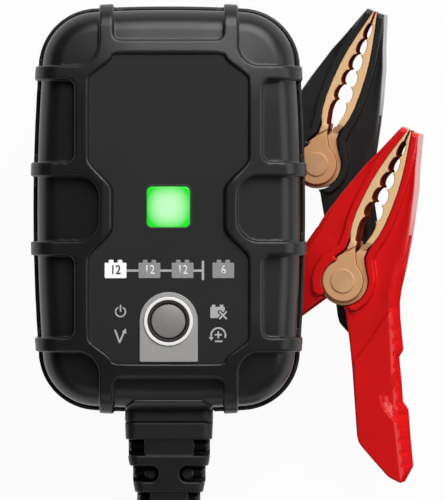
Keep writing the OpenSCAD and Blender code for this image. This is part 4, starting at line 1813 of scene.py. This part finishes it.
@dataclass(frozen=True)
class Face:
    """The face: plate, lit lens, battery lights, printed marks, trim and button."""

    plate_z: float = 37.4
    lens_y: float = 0.4
    lens_plan: Plan = (4.55, 4.3, 1.05)
    flange_plan: Plan = (5.4, 5.15, 1.6)
    flange_z: Point2 = (34.8, 35.8)
    rim_plan: Plan = (5.05, 4.8, 1.5)
    lights_x: tuple[float, ...] = (-11.25, -4.05, 3.0, 11.67)
    lights_y: float = -13.15
    battery_plan: Plan = (2.33, 1.65, 0.2)
    terminal_plan: Plan = (0.5, 0.5, 0.08)
    number_y: float = -13.1
    proud: float = 0.08
    ink: float = 0.06
    link_x: tuple[Point2, ...] = ((-8.85, -6.4), (-1.7, 0.65), (5.4, 7.3))
    button_y: float = -23.95
    arch_r: float = 6.2
    arch_inner_r: float = 5.25
    arch_z: float = 0.5
    # Outer radius, inner radius and height of each ring.
    ring: Point3 = (5.22, 4.5, 0.9)
    # Painted shade: this dark ring fills the gap round the button.
    shade_ring: Point3 = (4.49, 3.85, 0.6)
    cap_r: float = 3.65
    skirt_r: float = 4.4
    stem_r: float = 1.2

    def build(self) -> None:
        """Makes everything on the face."""
        self._lens()
        self._lights()
        self._marks()
        self._trim()
        self._button()
        dress(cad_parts["face_plate"], FACE_BLACK)

    def _lens(self) -> None:
        """The lit square lens, slightly crowned, in a dark rim."""
        y, z, (low, floor) = self.lens_y, self.plate_z, self.flange_z
        plan = rounded_rectangle(*self.lens_plan).moved(y=y)
        crown = Form(lambda u, v, w: w - (z + 0.1) + 0.004 * (u * u + (v - y) ** 2))
        lens = plan.within(above(floor)).within(crown, 0.25)
        lens = lens.join(plate(rounded_rectangle(*self.flange_plan).moved(y=y), low, floor))
        grid = Grid((-5.5, -4.9, low), (5.5, 5.7, 37.6), (0.2, 0.2, 0.15))
        make("status_lens_crowned", lens, grid, GREEN_LENS, "lens_green", "status_lens")
        rim = plate(rounded_rectangle(*self.rim_plan).moved(y=y), z - 0.05, z + 0.05).cut(plan.grown(0.05))
        grid = Grid((-5.2, -4.6, z - 0.1), (5.2, 5.4, z + 0.2), (0.09, 0.09, 0.05))
        make("lens_rim", rim, grid, PRINT_DARK, "face_black")

    def _battery(self, body: Plan, terminal: Plan, apart: float, up: float) -> Form:
        """A battery seen from the front, with its two terminals."""
        ends = (rounded_rectangle(*terminal).moved(side * apart, up) for side in (-1, 1))
        return reduce(Form.join, ends, rounded_rectangle(*body))

    def _lights(self) -> None:
        """The four battery lights behind their battery shapes; the first is lit."""
        for name, lights, finish in (
            ("battery_light_lit", self.lights_x[:1], LAMP_WHITE),
            ("battery_lights_unlit", self.lights_x[1:], LAMP_GREY_PAINTED_GLOW),
        ):
            piece = dress(merge(name, *(self._light(x) for x in lights)), finish)
            hand_over(piece, "lens_white", "indicator_lights")

    def _light(self, x: float) -> Piece:
        """One battery-shaped window over its light block.

        Args:
            x: its middle.

        Returns:
            The window and the block as one object.
        """
        plan = self._battery(self.battery_plan, self.terminal_plan, 0.93, 1.75).moved(x, self.lights_y)
        window = plate(plan, self.plate_z - 0.05, self.plate_z + self.proud)
        block = rounded_box((x, -13.3, 36.6), (1.55, 1.05, 0.82), 0.05)
        grid = Grid((x - 2.5, -15, 35.8), (x + 2.5, -10.9, 37.5), (0.1, 0.1, 0.1))
        return solid("battery_window", window.join(block), grid)

    def _marks(self) -> None:
        """Printed marks: numbers on the batteries, the line between them and four plain symbols."""
        top = self.plate_z + self.proud
        numbers = [
            Digits().build(text, (x, self.number_y), top)
            for text, x in zip(("12", "12", "12", "6"), self.lights_x)
        ]
        for name, marks, finish in (
            ("battery_number_dark", numbers[:1], PRINT_DARK),
            ("battery_numbers_pale", numbers[1:], PRINT_WHITE),
            ("face_symbols", self._symbols(), PRINT_PALE),
        ):
            hand_over(dress(merge(name, *marks), finish), "lens_white")

    def _symbols(self) -> list[Piece]:
        """The link line and the four symbols beside the button.

        Returns:
            One thin plate of ink for each.
        """
        marks = (
            (self._links(), (-8.9, -15.2), (7.7, -11.1)),
            (self._power().moved(-10.2, -21.95), (-11.5, -23.3), (-8.9, -20.3)),
            (self._arrowed_v().moved(-10.2, -27.1), (-11.8, -28.9), (-8.5, -25.2)),
            (self._crossed_battery().moved(10.45, -22.1), (8.7, -24.0), (12.7, -20.3)),
            (self._turned_poles().moved(10.6, -26.95), (8.6, -28.9), (12.5, -25.1)),
        )
        base, cell = self.plate_z - 0.04, (0.07, 0.07, 0.05)
        top = base + 0.04 + self.ink
        return [
            solid("symbol", plate(plan, base, top), Grid((*low, base), (*high, base + 0.1), cell))
            for plan, low, high in marks
        ]

    def _links(self) -> Form:
        """The line between the first three batteries and the bar at its end."""
        links = (track([(start, -13.2), (end, -13.2)], 0.24) for start, end in self.link_x)
        return reduce(Form.join, links, track([(7.33, -11.3), (7.33, -15.0)], 0.26))

    def _power(self) -> Form:
        """An open circle with a stroke in its gap."""
        ring = disc(1.2).cut(disc(0.88)).cut(rounded_rectangle(0.48, 1.0, 0.1).moved(y=1.1))
        return ring.join(track([(0, 0.1), (0, 1.35)], 0.16))

    def _arrowed_v(self) -> Form:
        """A V whose right stroke ends in an arrowhead."""
        strokes = track([(-1.15, 1.2), (-0.2, -1.35), (0.75, 0.8)], 0.2)
        return strokes.join(polygon([(0.3, 0.85), (1.25, 0.45), (1.1, 1.65)]))

    def _crossed_battery(self) -> Form:
        """A battery with a cross over its lower right corner.

        Returns:
            The symbol, about its own middle.
        """
        battery = self._battery((1.55, 1.2, 0.12), (0.38, 0.35, 0.05), 0.85, 1.3)
        cross = track([(-0.7, -0.7), (0.7, 0.7)], 0.2).join(track([(-0.7, 0.7), (0.7, -0.7)], 0.2))
        cross = cross.moved(1.15, -0.6)
        return battery.cut(cross.grown(0.22)).join(cross)

    def _turned_poles(self) -> Form:
        """A plus over a minus below a turning arrow.

        Returns:
            The symbol, about its own middle.
        """
        gap = polygon([(0, -0.3), (3, -0.9), (3, -3), (-3, -3), (-3, -0.5), (0, -0.1)])
        arc = disc(1.72).cut(disc(1.32)).cut(gap)
        arc = arc.join(polygon([(-2.05, -0.35), (-0.95, -0.35), (-1.5, -1.2)]))
        strokes = ([(-0.62, 0.1), (0.62, 0.1)], [(0, -0.52), (0, 0.72)], [(-0.55, -1.3), (0.75, -1.3)])
        return reduce(Form.join, (track(stroke, 0.19) for stroke in strokes), arc)

    def _trim(self) -> None:
        """The grey arch round the button, and the white ring with a dark ring inside it that paints the shade
        of the gap round the button.
        """
        y, z, r = self.button_y, self.plate_z, self.arch_r
        arch = disc(r).join(rounded_rectangle(r, 4.35, 0.3).moved(y=-4.35)).moved(x=0.05, y=y)
        arch = plate(arch, z, z + self.arch_z, 0.18).cut(disc(self.arch_inner_r, (0, y)))
        grid = Grid((-6.4, -32.8, z), (6.4, -17.5, z + self.arch_z), (0.14, 0.14, 0.1))
        make("button_surround_arch", arch, grid, TRIM_GREY, "trim_grey", "button_surround")
        grid = Grid((-5.3, -29.3, z), (5.3, -18.6, z + 0.9), (0.13, 0.13, 0.12))
        for name, (outer, inner, height), edge, finish, nodes in (
            ("button_ring_white", self.ring, 0.12, RING_WHITE, ("button_ring",)),
            ("button_ring_inner", self.shade_ring, 0.1, RING_PAINTED_SHADE, ()),
        ):
            ring = plate(disc(outer, (0, y)).cut(disc(inner, (0, y))), z, z + height, edge)
            make(name, ring, grid, finish, "lens_white", *nodes)

    def _button(self) -> None:
        """The domed grey button on its stem."""
        z, at = self.plate_z, (0, self.button_y)
        dome = Form(lambda x, y, w: w - (z + 0.7) + 0.035 * (x * x + (y - self.button_y) ** 2))
        form = disc(self.cap_r, at).within(above(z - 2.6)).within(dome, 0.25)
        form = form.join(plate(disc(self.skirt_r, at), z - 3.1, z - 2.5))
        form = form.join(plate(disc(self.stem_r, at), z - 3.75, z - 2.8))
        grid = Grid((-4.6, -28.5, z - 3.8), (4.6, -19.4, z + 0.72), (0.15, 0.15, 0.15))
        make("mode_button_dome", form, grid, BUTTON_GREY, "button_grey", "mode_button", body=Body.BUTTON)


# ---------- strain relief, plug and screws ----------


@dataclass(frozen=True)
class Boot:
    """The lead's strain relief: a tapering body with slots that leave it bendable."""

    top_y: float = -41.3
    end_y: float = -79.3
    joint_y: float = -45.75
    first_row_y: float = -51.25
    pitch: float = 5.72
    rows: int = 5
    row_half: float = 1.75
    core: float = 0.27
    edge: float = 2.3
    lead_r: float = 2.5
    stations: tuple[float, ...] = (-79.3, -77.0, -71.0, -65.5, -60.0, -54.0, -49.4, -45.7, -38.9)
    half_widths: tuple[float, ...] = (4.2, 4.2, 5.3, 6.4, 7.5, 8.7, 9.3, 9.45, 9.5)
    half_heights: tuple[float, ...] = (4.2, 4.2, 4.4, 5.25, 6.15, 7.1, 7.9, 8.0, 8.0)

    def _off_side(self, x: Array, y: Array) -> Array:
        """Distance past the body's side."""
        return np.abs(x) - np.interp(y, self.stations, self.half_widths)

    def _off_face(self, y: Array, z: Array) -> Array:
        """Distance past the body's front or back."""
        return np.abs(z - SEAM_Z) - np.interp(y, self.stations, self.half_heights)

    def _body(self, by: float = 0.0) -> Form:
        """The tapering body without its slots, grown by so much.

        Args:
            by: how far its surface is moved outwards.

        Returns:
            The body.
        """
        r = self.edge
        corner = Form(lambda x, y, z: past_corner(self._off_side(x, y) + r, self._off_face(y, z) + r))
        return Form(lambda *at: (corner.at(*at) - r) * 0.97 - by)

    def _row(self, row: int) -> Point2:
        """Middle of a row and the body's half width there."""
        middle = self.first_row_y - row * self.pitch
        return middle, float(np.interp(middle, self.stations, self.half_widths))

    def _slots(self, row: int) -> Form:
        """The slots of one row: in from both sides, or all round a core.

        Args:
            row: number of the row from the head.

        Returns:
            What is cut away.
        """
        middle, half = self._row(row)
        if row % 2:
            slot = rounded_rectangle(10.0, self.row_half, self.row_half - 0.02)
            return Form(lambda x, y, z: slot.at(np.abs(x) - self.core * half - 10.0, y - middle, z))
        core = rounded_rectangle(half * 0.58, self.row_half + 1.6, 1.6).moved(y=middle)
        sunk = Form(lambda x, y, z: self._off_face(y, z) + 0.7)
        return slab(middle, self.row_half, 1).cut(core.within(sunk))

    def _rods(self, row: int) -> Form:
        """The bar left across the slots of one row, halfway down.

        Args:
            row: number of the row from the head.

        Returns:
            The bar, with its round ends in the rows cut from both sides.
        """
        middle, half = self._row(row)
        bar = rounded_box((0, middle + 0.1, SEAM_Z), (half - 0.35, 1.15, 1.6), 1.0)
        bar = bar.join(rounded_box((0, middle, SEAM_Z - 1.0), (half - 0.25, self.row_half + 0.2, 0.5), 0.2))
        if row % 2 == 0:
            return bar
        ends = Form(lambda x, y, z: np.hypot(np.abs(x) - self.core * half - 1.7, y - middle) - 1.3)
        return bar.join(plate(ends, SEAM_Z - half * 0.5, SEAM_Z + half * 0.5, 0.3))

    def form(self) -> Form:
        """The whole strain relief.

        Returns:
            The body with its slots, its bars, its neck and the hole for the lead.
        """
        body = self._body()
        for row in range(self.rows):
            body = body.cut(self._slots(row), 0.3)
        for row in range(self.rows):
            body = body.join(self._rods(row))
        body = body.cut(slab(self.joint_y, 0.14, 1).cut(self._body(-0.5)), 0.08)
        neck = rounded_box((0, self.top_y + 0.5, SEAM_Z), (8.1, 1.9, 7.0), 1.0)
        body = body.within(below(self.top_y + 0.2, 1), 0.3).join(neck).within(above(self.end_y, 1), 0.4)
        return body.cut(disc(self.lead_r, (0, SEAM_Z), (0, 2)))

    def build(self) -> None:
        """Makes the strain relief."""
        grid = Grid((-9.6, -79.4, 12.9), (9.6, -38.8, 29.1), (0.22, 0.22, 0.3))
        piece = dress(lighten(solid("lead_boot_slotted", self.form(), grid)), BOOT_RUBBER)
        hand_over(piece, "boot_rubber", "lead_boot")


@dataclass(frozen=True)
class PlugSide:
    """The outlet side: plug base, blades and housing screws."""

    base_plan: Plan = (15, 17, 3)
    base_y: float = 11.0
    base_top: float = 7.0
    neck_plan: Plan = (10.9, 7.9, 0.5)
    flange_plan: Plan = (13, 7.9, 0.5)
    blade_y: float = 14.0
    blade_half_pitch: float = 6.35
    blade_half: Point3 = (0.75, 3.175, 13.95)
    # Radius and height of the hole.
    blade_hole: Point2 = (1.6, -11.7)
    # Radius and thickness of a screw's head.
    screw_head: Point2 = (2.7, 1.2)
    screw_recess: float = 0.6
    screw_length: float = 9.0
    # Core radius, depth and pitch.
    thread: Point3 = (1.22, 0.08, 1.0)

    def build(self) -> None:
        """Makes the three pieces."""
        self._base()
        self._blades()
        self._screws()

    def _base(self) -> None:
        """The raised base that stands against the outlet."""
        y, pitch = self.blade_y, self.blade_half_pitch
        form = plate(rounded_rectangle(*self.base_plan).moved(y=self.base_y), 0, self.base_top, 0.6)
        form = form.join(plate(rounded_rectangle(*self.neck_plan).moved(y=y), 6, 9.0))
        form = form.join(plate(rounded_rectangle(*self.flange_plan).moved(y=y), 9.0, 10.2))
        for side in (-pitch, pitch):
            form = form.cut(rounded_rectangle(*self.blade_half[:2], 0.05).moved(side, y))
        form = form.cut(plate(rounded_rectangle(10.5, 6.5, 1.0).moved(y=y), -1, 0.5), 0.15)
        grid = Grid((-15.1, -6.1, 0), (15.1, 28.1, 10.2), (0.35, 0.35, 0.3))
        make("plug_base_block", form, grid, BASE_BLACK, "case_black", "plug_base")

    def _blades(self) -> None:
        """Two flat blades with rounded tips and a hole each."""
        y, (thick, wide, tall), (hole_r, hole_z) = self.blade_y, self.blade_half, self.blade_hole
        blades = []
        for x in (-self.blade_half_pitch, self.blade_half_pitch):
            profile = rounded_box((x, y, -3.55), (3.0, wide, tall), 1.2)
            form = profile.within(slab(x, thick, 0), 0.25).cut(disc(hole_r, (y, hole_z), (1, 2)), 0.15)
            grid = Grid((x - 0.8, y - 3.3, TABLE_Z), (x + 0.8, y + 3.3, 10.4), (0.15, 0.25, 0.25))
            blades.append(solid("blade", form, grid))
        piece = dress(merge("mains_blades_pair", *blades), NICKEL)
        hand_over(piece, "blade_metal", "mains_blades")

    def _screws(self) -> None:
        """Four cross-head screws, repeated from one."""
        core, deep, pitch = self.thread
        thread = Form(lambda x, y, z: np.hypot(x, y) - core - deep * np.cos(z * 2 * np.pi / pitch))
        thread = thread.within(above(self.screw_recess)).within(below(self.screw_length))
        slots = rounded_rectangle(2.0, 0.4, 0.1).join(rounded_rectangle(0.4, 2.0, 0.1))
        head = plate(disc(self.screw_head[0]), 0, self.screw_head[1], 0.25)
        form = head.cut(slots.within(below(self.screw_recess)), 0.08).join(thread)
        shape = solid("screw", form, Grid((-2.8, -2.8, 0), (2.8, 2.8, self.screw_length), (0.16, 0.16, 0.16)))
        places = [((x, y, self.base_top), 20.0 * index) for index, (x, y) in enumerate(CASE.screws)]
        piece = Stamp("housing_screws_set", shape, ZINC).repeat(places)
        hand_over(piece, "steel", "housing_screws")


# ---------- clamps ----------

COVER_EDGE: Line = (
    (0.45, 36.0), (2.0, 36.2), (4.4, 29.2), (6.1, 24.9), (8.3, 17.6), (9.4, 13.3), (10.6, 8.0), (11.6, 3.0),
    (12.4, 0.3), (13.8, -2.6), (17.4, -8.9), (17.2, -10.7), (20.0, -15.6), (22.0, -19.3), (23.8, -20.4),
    (26.8, -25.9), (29.9, -31.3), (29.6, -35.3), (26.2, -35.2), (17.2, -31.0), (16.3, -29.8), (9.4, -17.0),
    (5.6, -10.4), (2.9, -5.7),
)
SIDE_SLOT: Line = ((9.55, 14.4), (10.75, 9.0))
COVER_NECK: Line = ((0.5, -4.0), (0.5, 3.0), (3.9, 4.1), (2.45, 6.5), (2.5, 9.0))
JAW_EDGE: Line = (
    (0.45, 36.0), (1.4, 32.0), (2.1, 29.0), (2.75, 25.6), (3.15, 22.5), (3.4, 18.8), (3.45, 14.8),
    (3.2, 12.0), (2.8, 10.3), (1.9, 8.2),
)
CUSPS: Line = (
    (0.15, 36.0), (0.2, 33.4), (0.25, 29.7), (0.4, 26.0), (0.6, 22.2), (0.9, 18.6), (1.2, 14.9),
)
JAW_NECK: Line = ((0.5, 7.6), (1.2, 9.6), (1.75, 12.0), (1.8, 13.4), (1.6, 14.4))
JAW_WEB: Line = (
    (0.6, 9.2), (2.1, 9.0), (2.05, 6.5), (3.3, 4.3), (2, 0), (-1.2, 4.6), (0.3, 7.4),
)
JAW_BEND: Line = ((4.4, 3.5), (0.2, 8.2))
HANDLE_HOLLOW: Line = (
    (3.0, 2.4), (9.8, 0.6), (12.2, -3.4), (15.2, -9.4), (18.4, -15.6), (24.6, -25.4), (26.2, -33.4),
    (17.2, -29.6), (8.0, -18.0), (2.0, -7.0),
)
LOBE_RIM: Line = ((2.6, 6.4), (4.0, 4.2), (5.1, 2.2), (5.5, 0.2), (5.2, -1.8), (4.2, -3.6))
RIDGE: Line = (
    (2.0, 36.2), (4.2, 29.5), (6.0, 24.5), (8.0, 17.1), (8.8, 13.0), (9.3, 6.8), (10.2, 1.7), (11.7, -2.0),
    (17.4, -13.4), (22.1, -22.7), (29.8, -35.7),
)
GRIP_EDGE: Line = (
    (12.2, -1.8), (11.4, -5.8), (10.5, -10.5), (9.7, -13.9), (9.5, -15.3), (9.7, -15.8), (11.7, -19.9),
    (14.9, -26.1), (17.4, -30.7), (18.6, -31.6), (22.5, -33.3), (26.3, -34.8), (29.0, -35.9),
)
SCOOP: Line = (
    (18.6, -12.2), (18.1, -15.4), (17.4, -18.4), (17.4, -19.7), (18.4, -21.2), (19.9, -22.2), (22.0, -23.2),
    (23.9, -23.9), (25.6, -23.6), (28.0, -22.0), (24.0, -12.0),
)


@dataclass(frozen=True)
class Clamp:
    """One battery clamp: two moulded halves over bronze jaws, a rivet and a spring."""

    colour: str
    pivot: Point3
    lean: float
    side_up: float
    tips_up: float
    cover_finish: Finish
    arm: Body
    thick: float = 8.6
    rivet_r: float = 2.0
    # Radius of the front head and of the back head.
    rivet_heads: Point2 = (2.65, 2.9)
    lobe_r: float = 5.4
    fixed_lobe_r: float = 4.5
    lobe_in: float = 1.2
    lobe_thick: float = 1.0
    hollow_floor: float = 1.7
    hollow_roof: float = 3.4
    border: float = 1.8
    channel: float = 1.2
    grip_dip: float = 1.1
    most_dip: float = 2.6
    rib_pitch: float = 2.7
    rib_depth: float = 0.28
    notch: float = 0.95
    notch_points: int = 9
    # x, y, angle in degrees and radius of the hole for the lead.
    lead_hole: tuple[float, float, float, float] = (18.4, -27.6, 36.0, 1.8)

    def place(self, mirrored: bool = False) -> Matrix:
        """Turn and shift from the clamp's own axes to the frame, in mm.

        Args:
            mirrored: whether left and right change places first.

        Returns:
            The matrix.
        """
        turn = Matrix.Translation(self.pivot)
        for angle, axis in ((-self.lean, "Z"), (-self.side_up, "Y"), (self.tips_up, "X")):
            turn = turn @ Matrix.Rotation(math.radians(angle), 4, axis)
        return turn @ Matrix.Scale(-1, 4, (1, 0, 0)) if mirrored else turn

    def _cover(self, fixed: bool) -> Form:
        """One moulded half, drawn as the right one.

        Args:
            fixed: whether it is the half that has the hole for the lead.

        Returns:
            The half, on the clamp's own axes.
        """
        plan = polygon([*COVER_EDGE, *COVER_NECK, *reversed(JAW_EDGE[1:-1])])
        form = plan.within(self._top(), 0.45).within(above(0), 0.6)
        hollow = plate(polygon(HANDLE_HOLLOW), self.hollow_floor, self.thick - self.hollow_roof)
        form = form.cut(hollow, 0.2).cut(plate(track(SIDE_SLOT, 0.85), 2.4, 6.4), 0.12)
        turning = disc(self.lobe_r + 0.25)
        if not fixed:
            return form.cut(turning, 0.2)
        form = form.cut(turning.within(below(self.thick - 1.1))).cut(self._lead_hole())
        return form.cut(disc(self.fixed_lobe_r + 0.25), 0.2)

    def _top(self) -> Form:
        """The front of a half.

        A border stands along the jaw and its lobe. Beside it a channel rises to a ridge, past which the
        front slopes to the outer wall. The grip is a raised field with a thumb scoop and a ribbed edge.

        Returns:
            All space under that front.
        """
        jaw_line = track([*JAW_EDGE[:-1], *LOBE_RIM], 0.0)
        front = polygon([*RIDGE, (-40.0, -35.7), (-40.0, 36.2)])
        grip = polygon([*GRIP_EDGE, (44.0, -36.0), (44.0, -1.8)])
        scoop = polygon(SCOOP)

        def distance(x: Array, y: Array, z: Array) -> Array:
            """Distance to the front surface.

            Args:
                x: across.
                y: along.
                z: upwards.

            Returns:
                The distance.
            """
            past, border, off = (form.at(x, y, z) for form in (front, jaw_line, grip))
            hollow = -scoop.at(x, y, z)
            inner, outer = np.maximum(-past, 0), np.maximum(past, 0)
            beside = np.maximum(border - self.border, 0)
            channel = self.channel * rise(border, 1.3, 1.9) * inner / (inner + 0.7 * beside + 0.05)
            dip = (channel + self.grip_dip * np.exp(-np.maximum(off, 0) / 3.5)) * rise(off, 0.0, 0.45)
            dip = dip + 0.4 * rise(hollow, 0.0, 0.35) + 1.0 * rise(hollow, 0.2, 2.8)
            ribs = rise(np.cos((0.43 * x - 0.9 * y) * 2 * np.pi / self.rib_pitch), 0.2, 0.7)
            ribs = self.rib_depth * ribs * rise(outer, 0.5, 0.9) * rise(-y, 3.0, 4.0)
            lean = 0.2 * np.minimum(beside, 7.5)
            slope = 0.65 * outer + 1.2 * np.maximum(outer - 1.0, 0) + 1.1 * np.maximum(y - 35.3, 0)
            return (z - self.thick + np.minimum(dip + lean, self.most_dip) + slope + ribs) * 0.9

        return Form(distance)

    def _lead_hole(self) -> Form:
        """The hole for the lead in the end of the left handle.

        Returns:
            A round bar, on the outer side of the crimp alone.
        """
        x, y, angle, r = self.lead_hole
        sin, cos = math.sin(math.radians(angle)), math.cos(math.radians(angle))
        across = Form(lambda u, v, w: np.hypot((u - x) * cos + (v - y) * sin, w - self.thick / 2) - r)
        return across.within(Form(lambda u, v, w: (v - y) * cos - (u - x) * sin))

    def _notches(self) -> list[Point2]:
        """The jaw's inner edge, from its neck to its tip.

        Returns:
            Points of the wedge at the neck and of the round notches between the cusps.
        """
        points: list[Point2] = list(JAW_NECK)
        for (x, y), (far_x, far_y) in zip(reversed(CUSPS[2:]), reversed(CUSPS[1:-1])):
            for t in (i / self.notch_points for i in range(self.notch_points)):
                at = y + (far_y - y) * t
                bulge = math.sqrt(max(0.0, 1 - (2 * t - 1) ** 2))
                deep = min(self.notch, self.notch - 0.055 * (at - 24)) * bulge
                points.append((x + (far_x - x) * t + deep, at))
        return [*points, CUSPS[1], CUSPS[0]]

    def _jaw(self, fixed: bool) -> Form:
        """Bronze jaw with round notches and its pivot lobes.

        Args:
            fixed: whether its lobes lie outside those of the other jaw.

        Returns:
            The jaw, on the clamp's own axes.
        """
        middle = self.thick / 2
        form = plate(polygon([*JAW_EDGE, *self._notches()]), 0, self.thick, 0.22)
        if not fixed:
            narrowing = Form(lambda x, y, z: np.abs(z - middle) - middle + 0.55 * np.maximum(10 - y, 0))
            form = form.within(narrowing)
        lobe = disc(self.fixed_lobe_r if fixed else self.lobe_r).join(polygon(JAW_WEB), 0.6)
        inset = 0.0 if fixed else self.lobe_in
        for low in (inset, self.thick - inset - self.lobe_thick):
            form = form.join(plate(lobe, low, low + self.lobe_thick, 0.2), 0.15)
        if fixed:
            bend = track(JAW_BEND, 0.14).within(above(self.thick - 0.35))
            return form.cut(bend, 0.1).cut(disc(self.rivet_r))
        return form.cut(disc(self.rivet_r + 0.05))

    def build(self) -> None:
        """Makes both halves, both jaws and the rivet."""
        cover_grid = Grid((0.3, -35.6, 0), (30.2, 36.4, self.thick), (0.24, 0.24, 0.3))
        jaw_grid = Grid((-5.5, -5.5, 0), (5.5, 36.3, self.thick), (0.17, 0.17, 0.24))
        for side, body in (("fixed", Body.CHARGER), ("moving", self.arm)):
            fixed = side == "fixed"
            for kind, look, form, grid, fade, finish, slot in (
                ("cover", "moulded", self._cover(fixed), cover_grid, (6.0, 22.0), self.cover_finish,
                 f"clamp_{self.colour}"),
                ("jaw", "toothed", self._jaw(fixed), jaw_grid, (5.5, 9.5), BRONZE, "bronze"),
            ):
                node = f"{self.colour}_{side}_{kind}"
                piece = solid(f"{node}_{look}", form, grid, self.place(fixed))
                self._mark(piece, self.place(fixed), fade)
                hand_over(dress(piece, finish), slot, node, body=body)
        self._rivet()
        for node, finish in (("spring", STEEL), ("spring_leg", STEEL), ("crimp", BRASS)):
            dress(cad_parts[f"{self.colour}_{node}"], finish)

    def _mark(self, piece: Piece, place: Matrix, fade: Point2) -> None:
        """Marks the walls of a piece, and its upper end that fades in between two heights.

        Args:
            piece: the piece.
            place: turn and shift that it was placed with, in mm.
            fade: where its upper end begins and where it is complete.
        """
        points, normals = own_axes(piece, place)
        # On the jaws this wall mark also carries their painted shade.
        mark(piece, "wall", np.clip((0.8 - np.abs(normals[:, 2])) / 0.3, 0, 1))
        mark(piece, "upper", rise(points[:, 1], *fade))

    def _rivet(self) -> None:
        """A rivet with flat heads that stand just above the lobes."""
        top, (front_r, back_r) = self.thick, self.rivet_heads
        form = plate(disc(self.rivet_r), 0, top).join(plate(disc(front_r), top, top + 0.3, 0.12))
        form = form.join(plate(disc(back_r), -0.45, 0, 0.3))
        grid = Grid((-3, -3, -0.5), (3, 3, top + 0.35), (0.15, 0.15, 0.12))
        name = f"{self.colour}_rivet"
        make(f"{name}_headed", form, grid, RIVET_BRONZE, "bronze", name, place=self.place())


# ---------- what stays as CAD made it ----------


@dataclass(frozen=True)
class Inside:
    """The electronics, which keep their CAD shapes and get real finishes."""

    finishes: tuple[tuple[str, Finish], ...] = (
        ("shell_gasket", SEAL_RUBBER), ("tact_switch", STEEL), ("display_board", BOARD_GREEN),
        ("status_led", LED_CHIP), ("power_board", BOARD_GREEN), ("transformer_core", FERRITE),
        ("transformer_winding", WINDING), ("filter_capacitors", SLEEVE), ("heat_sink", ALUMINIUM),
        ("power_transistor", CHIP_BLACK), ("mains_fuse", CERAMIC), ("blade_contacts", BRASS),
        ("lead_grip", SEAL_RUBBER), ("output_wires", WIRE_RED),
    )

    def build(self) -> None:
        """Dresses every node that is kept."""
        for node, finish in self.finishes:
            dress(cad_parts[node], finish)
            LOG.info("dressed %s with %s", node, finish.name)


def main() -> None:
    """Builds the studio and every sub-assembly in order."""
    Studio().build()
    Leads().build()
    RearShell().build()
    FrontShell().build()
    Face().build()
    Boot().build()
    PlugSide().build()
    Clamp("red", (39.5, -15.5, -0.3), 24.7, 10.0, 5.0, RED_GLOSS, Body.RED_ARM).build()
    Clamp("black", (33.5, 10.5, -10.6), 21.7, 7.0, 5.0, BLACK_GLOSS, Body.BLACK_ARM).build()
    Inside().build()


if __name__ == "__main__":
    main()
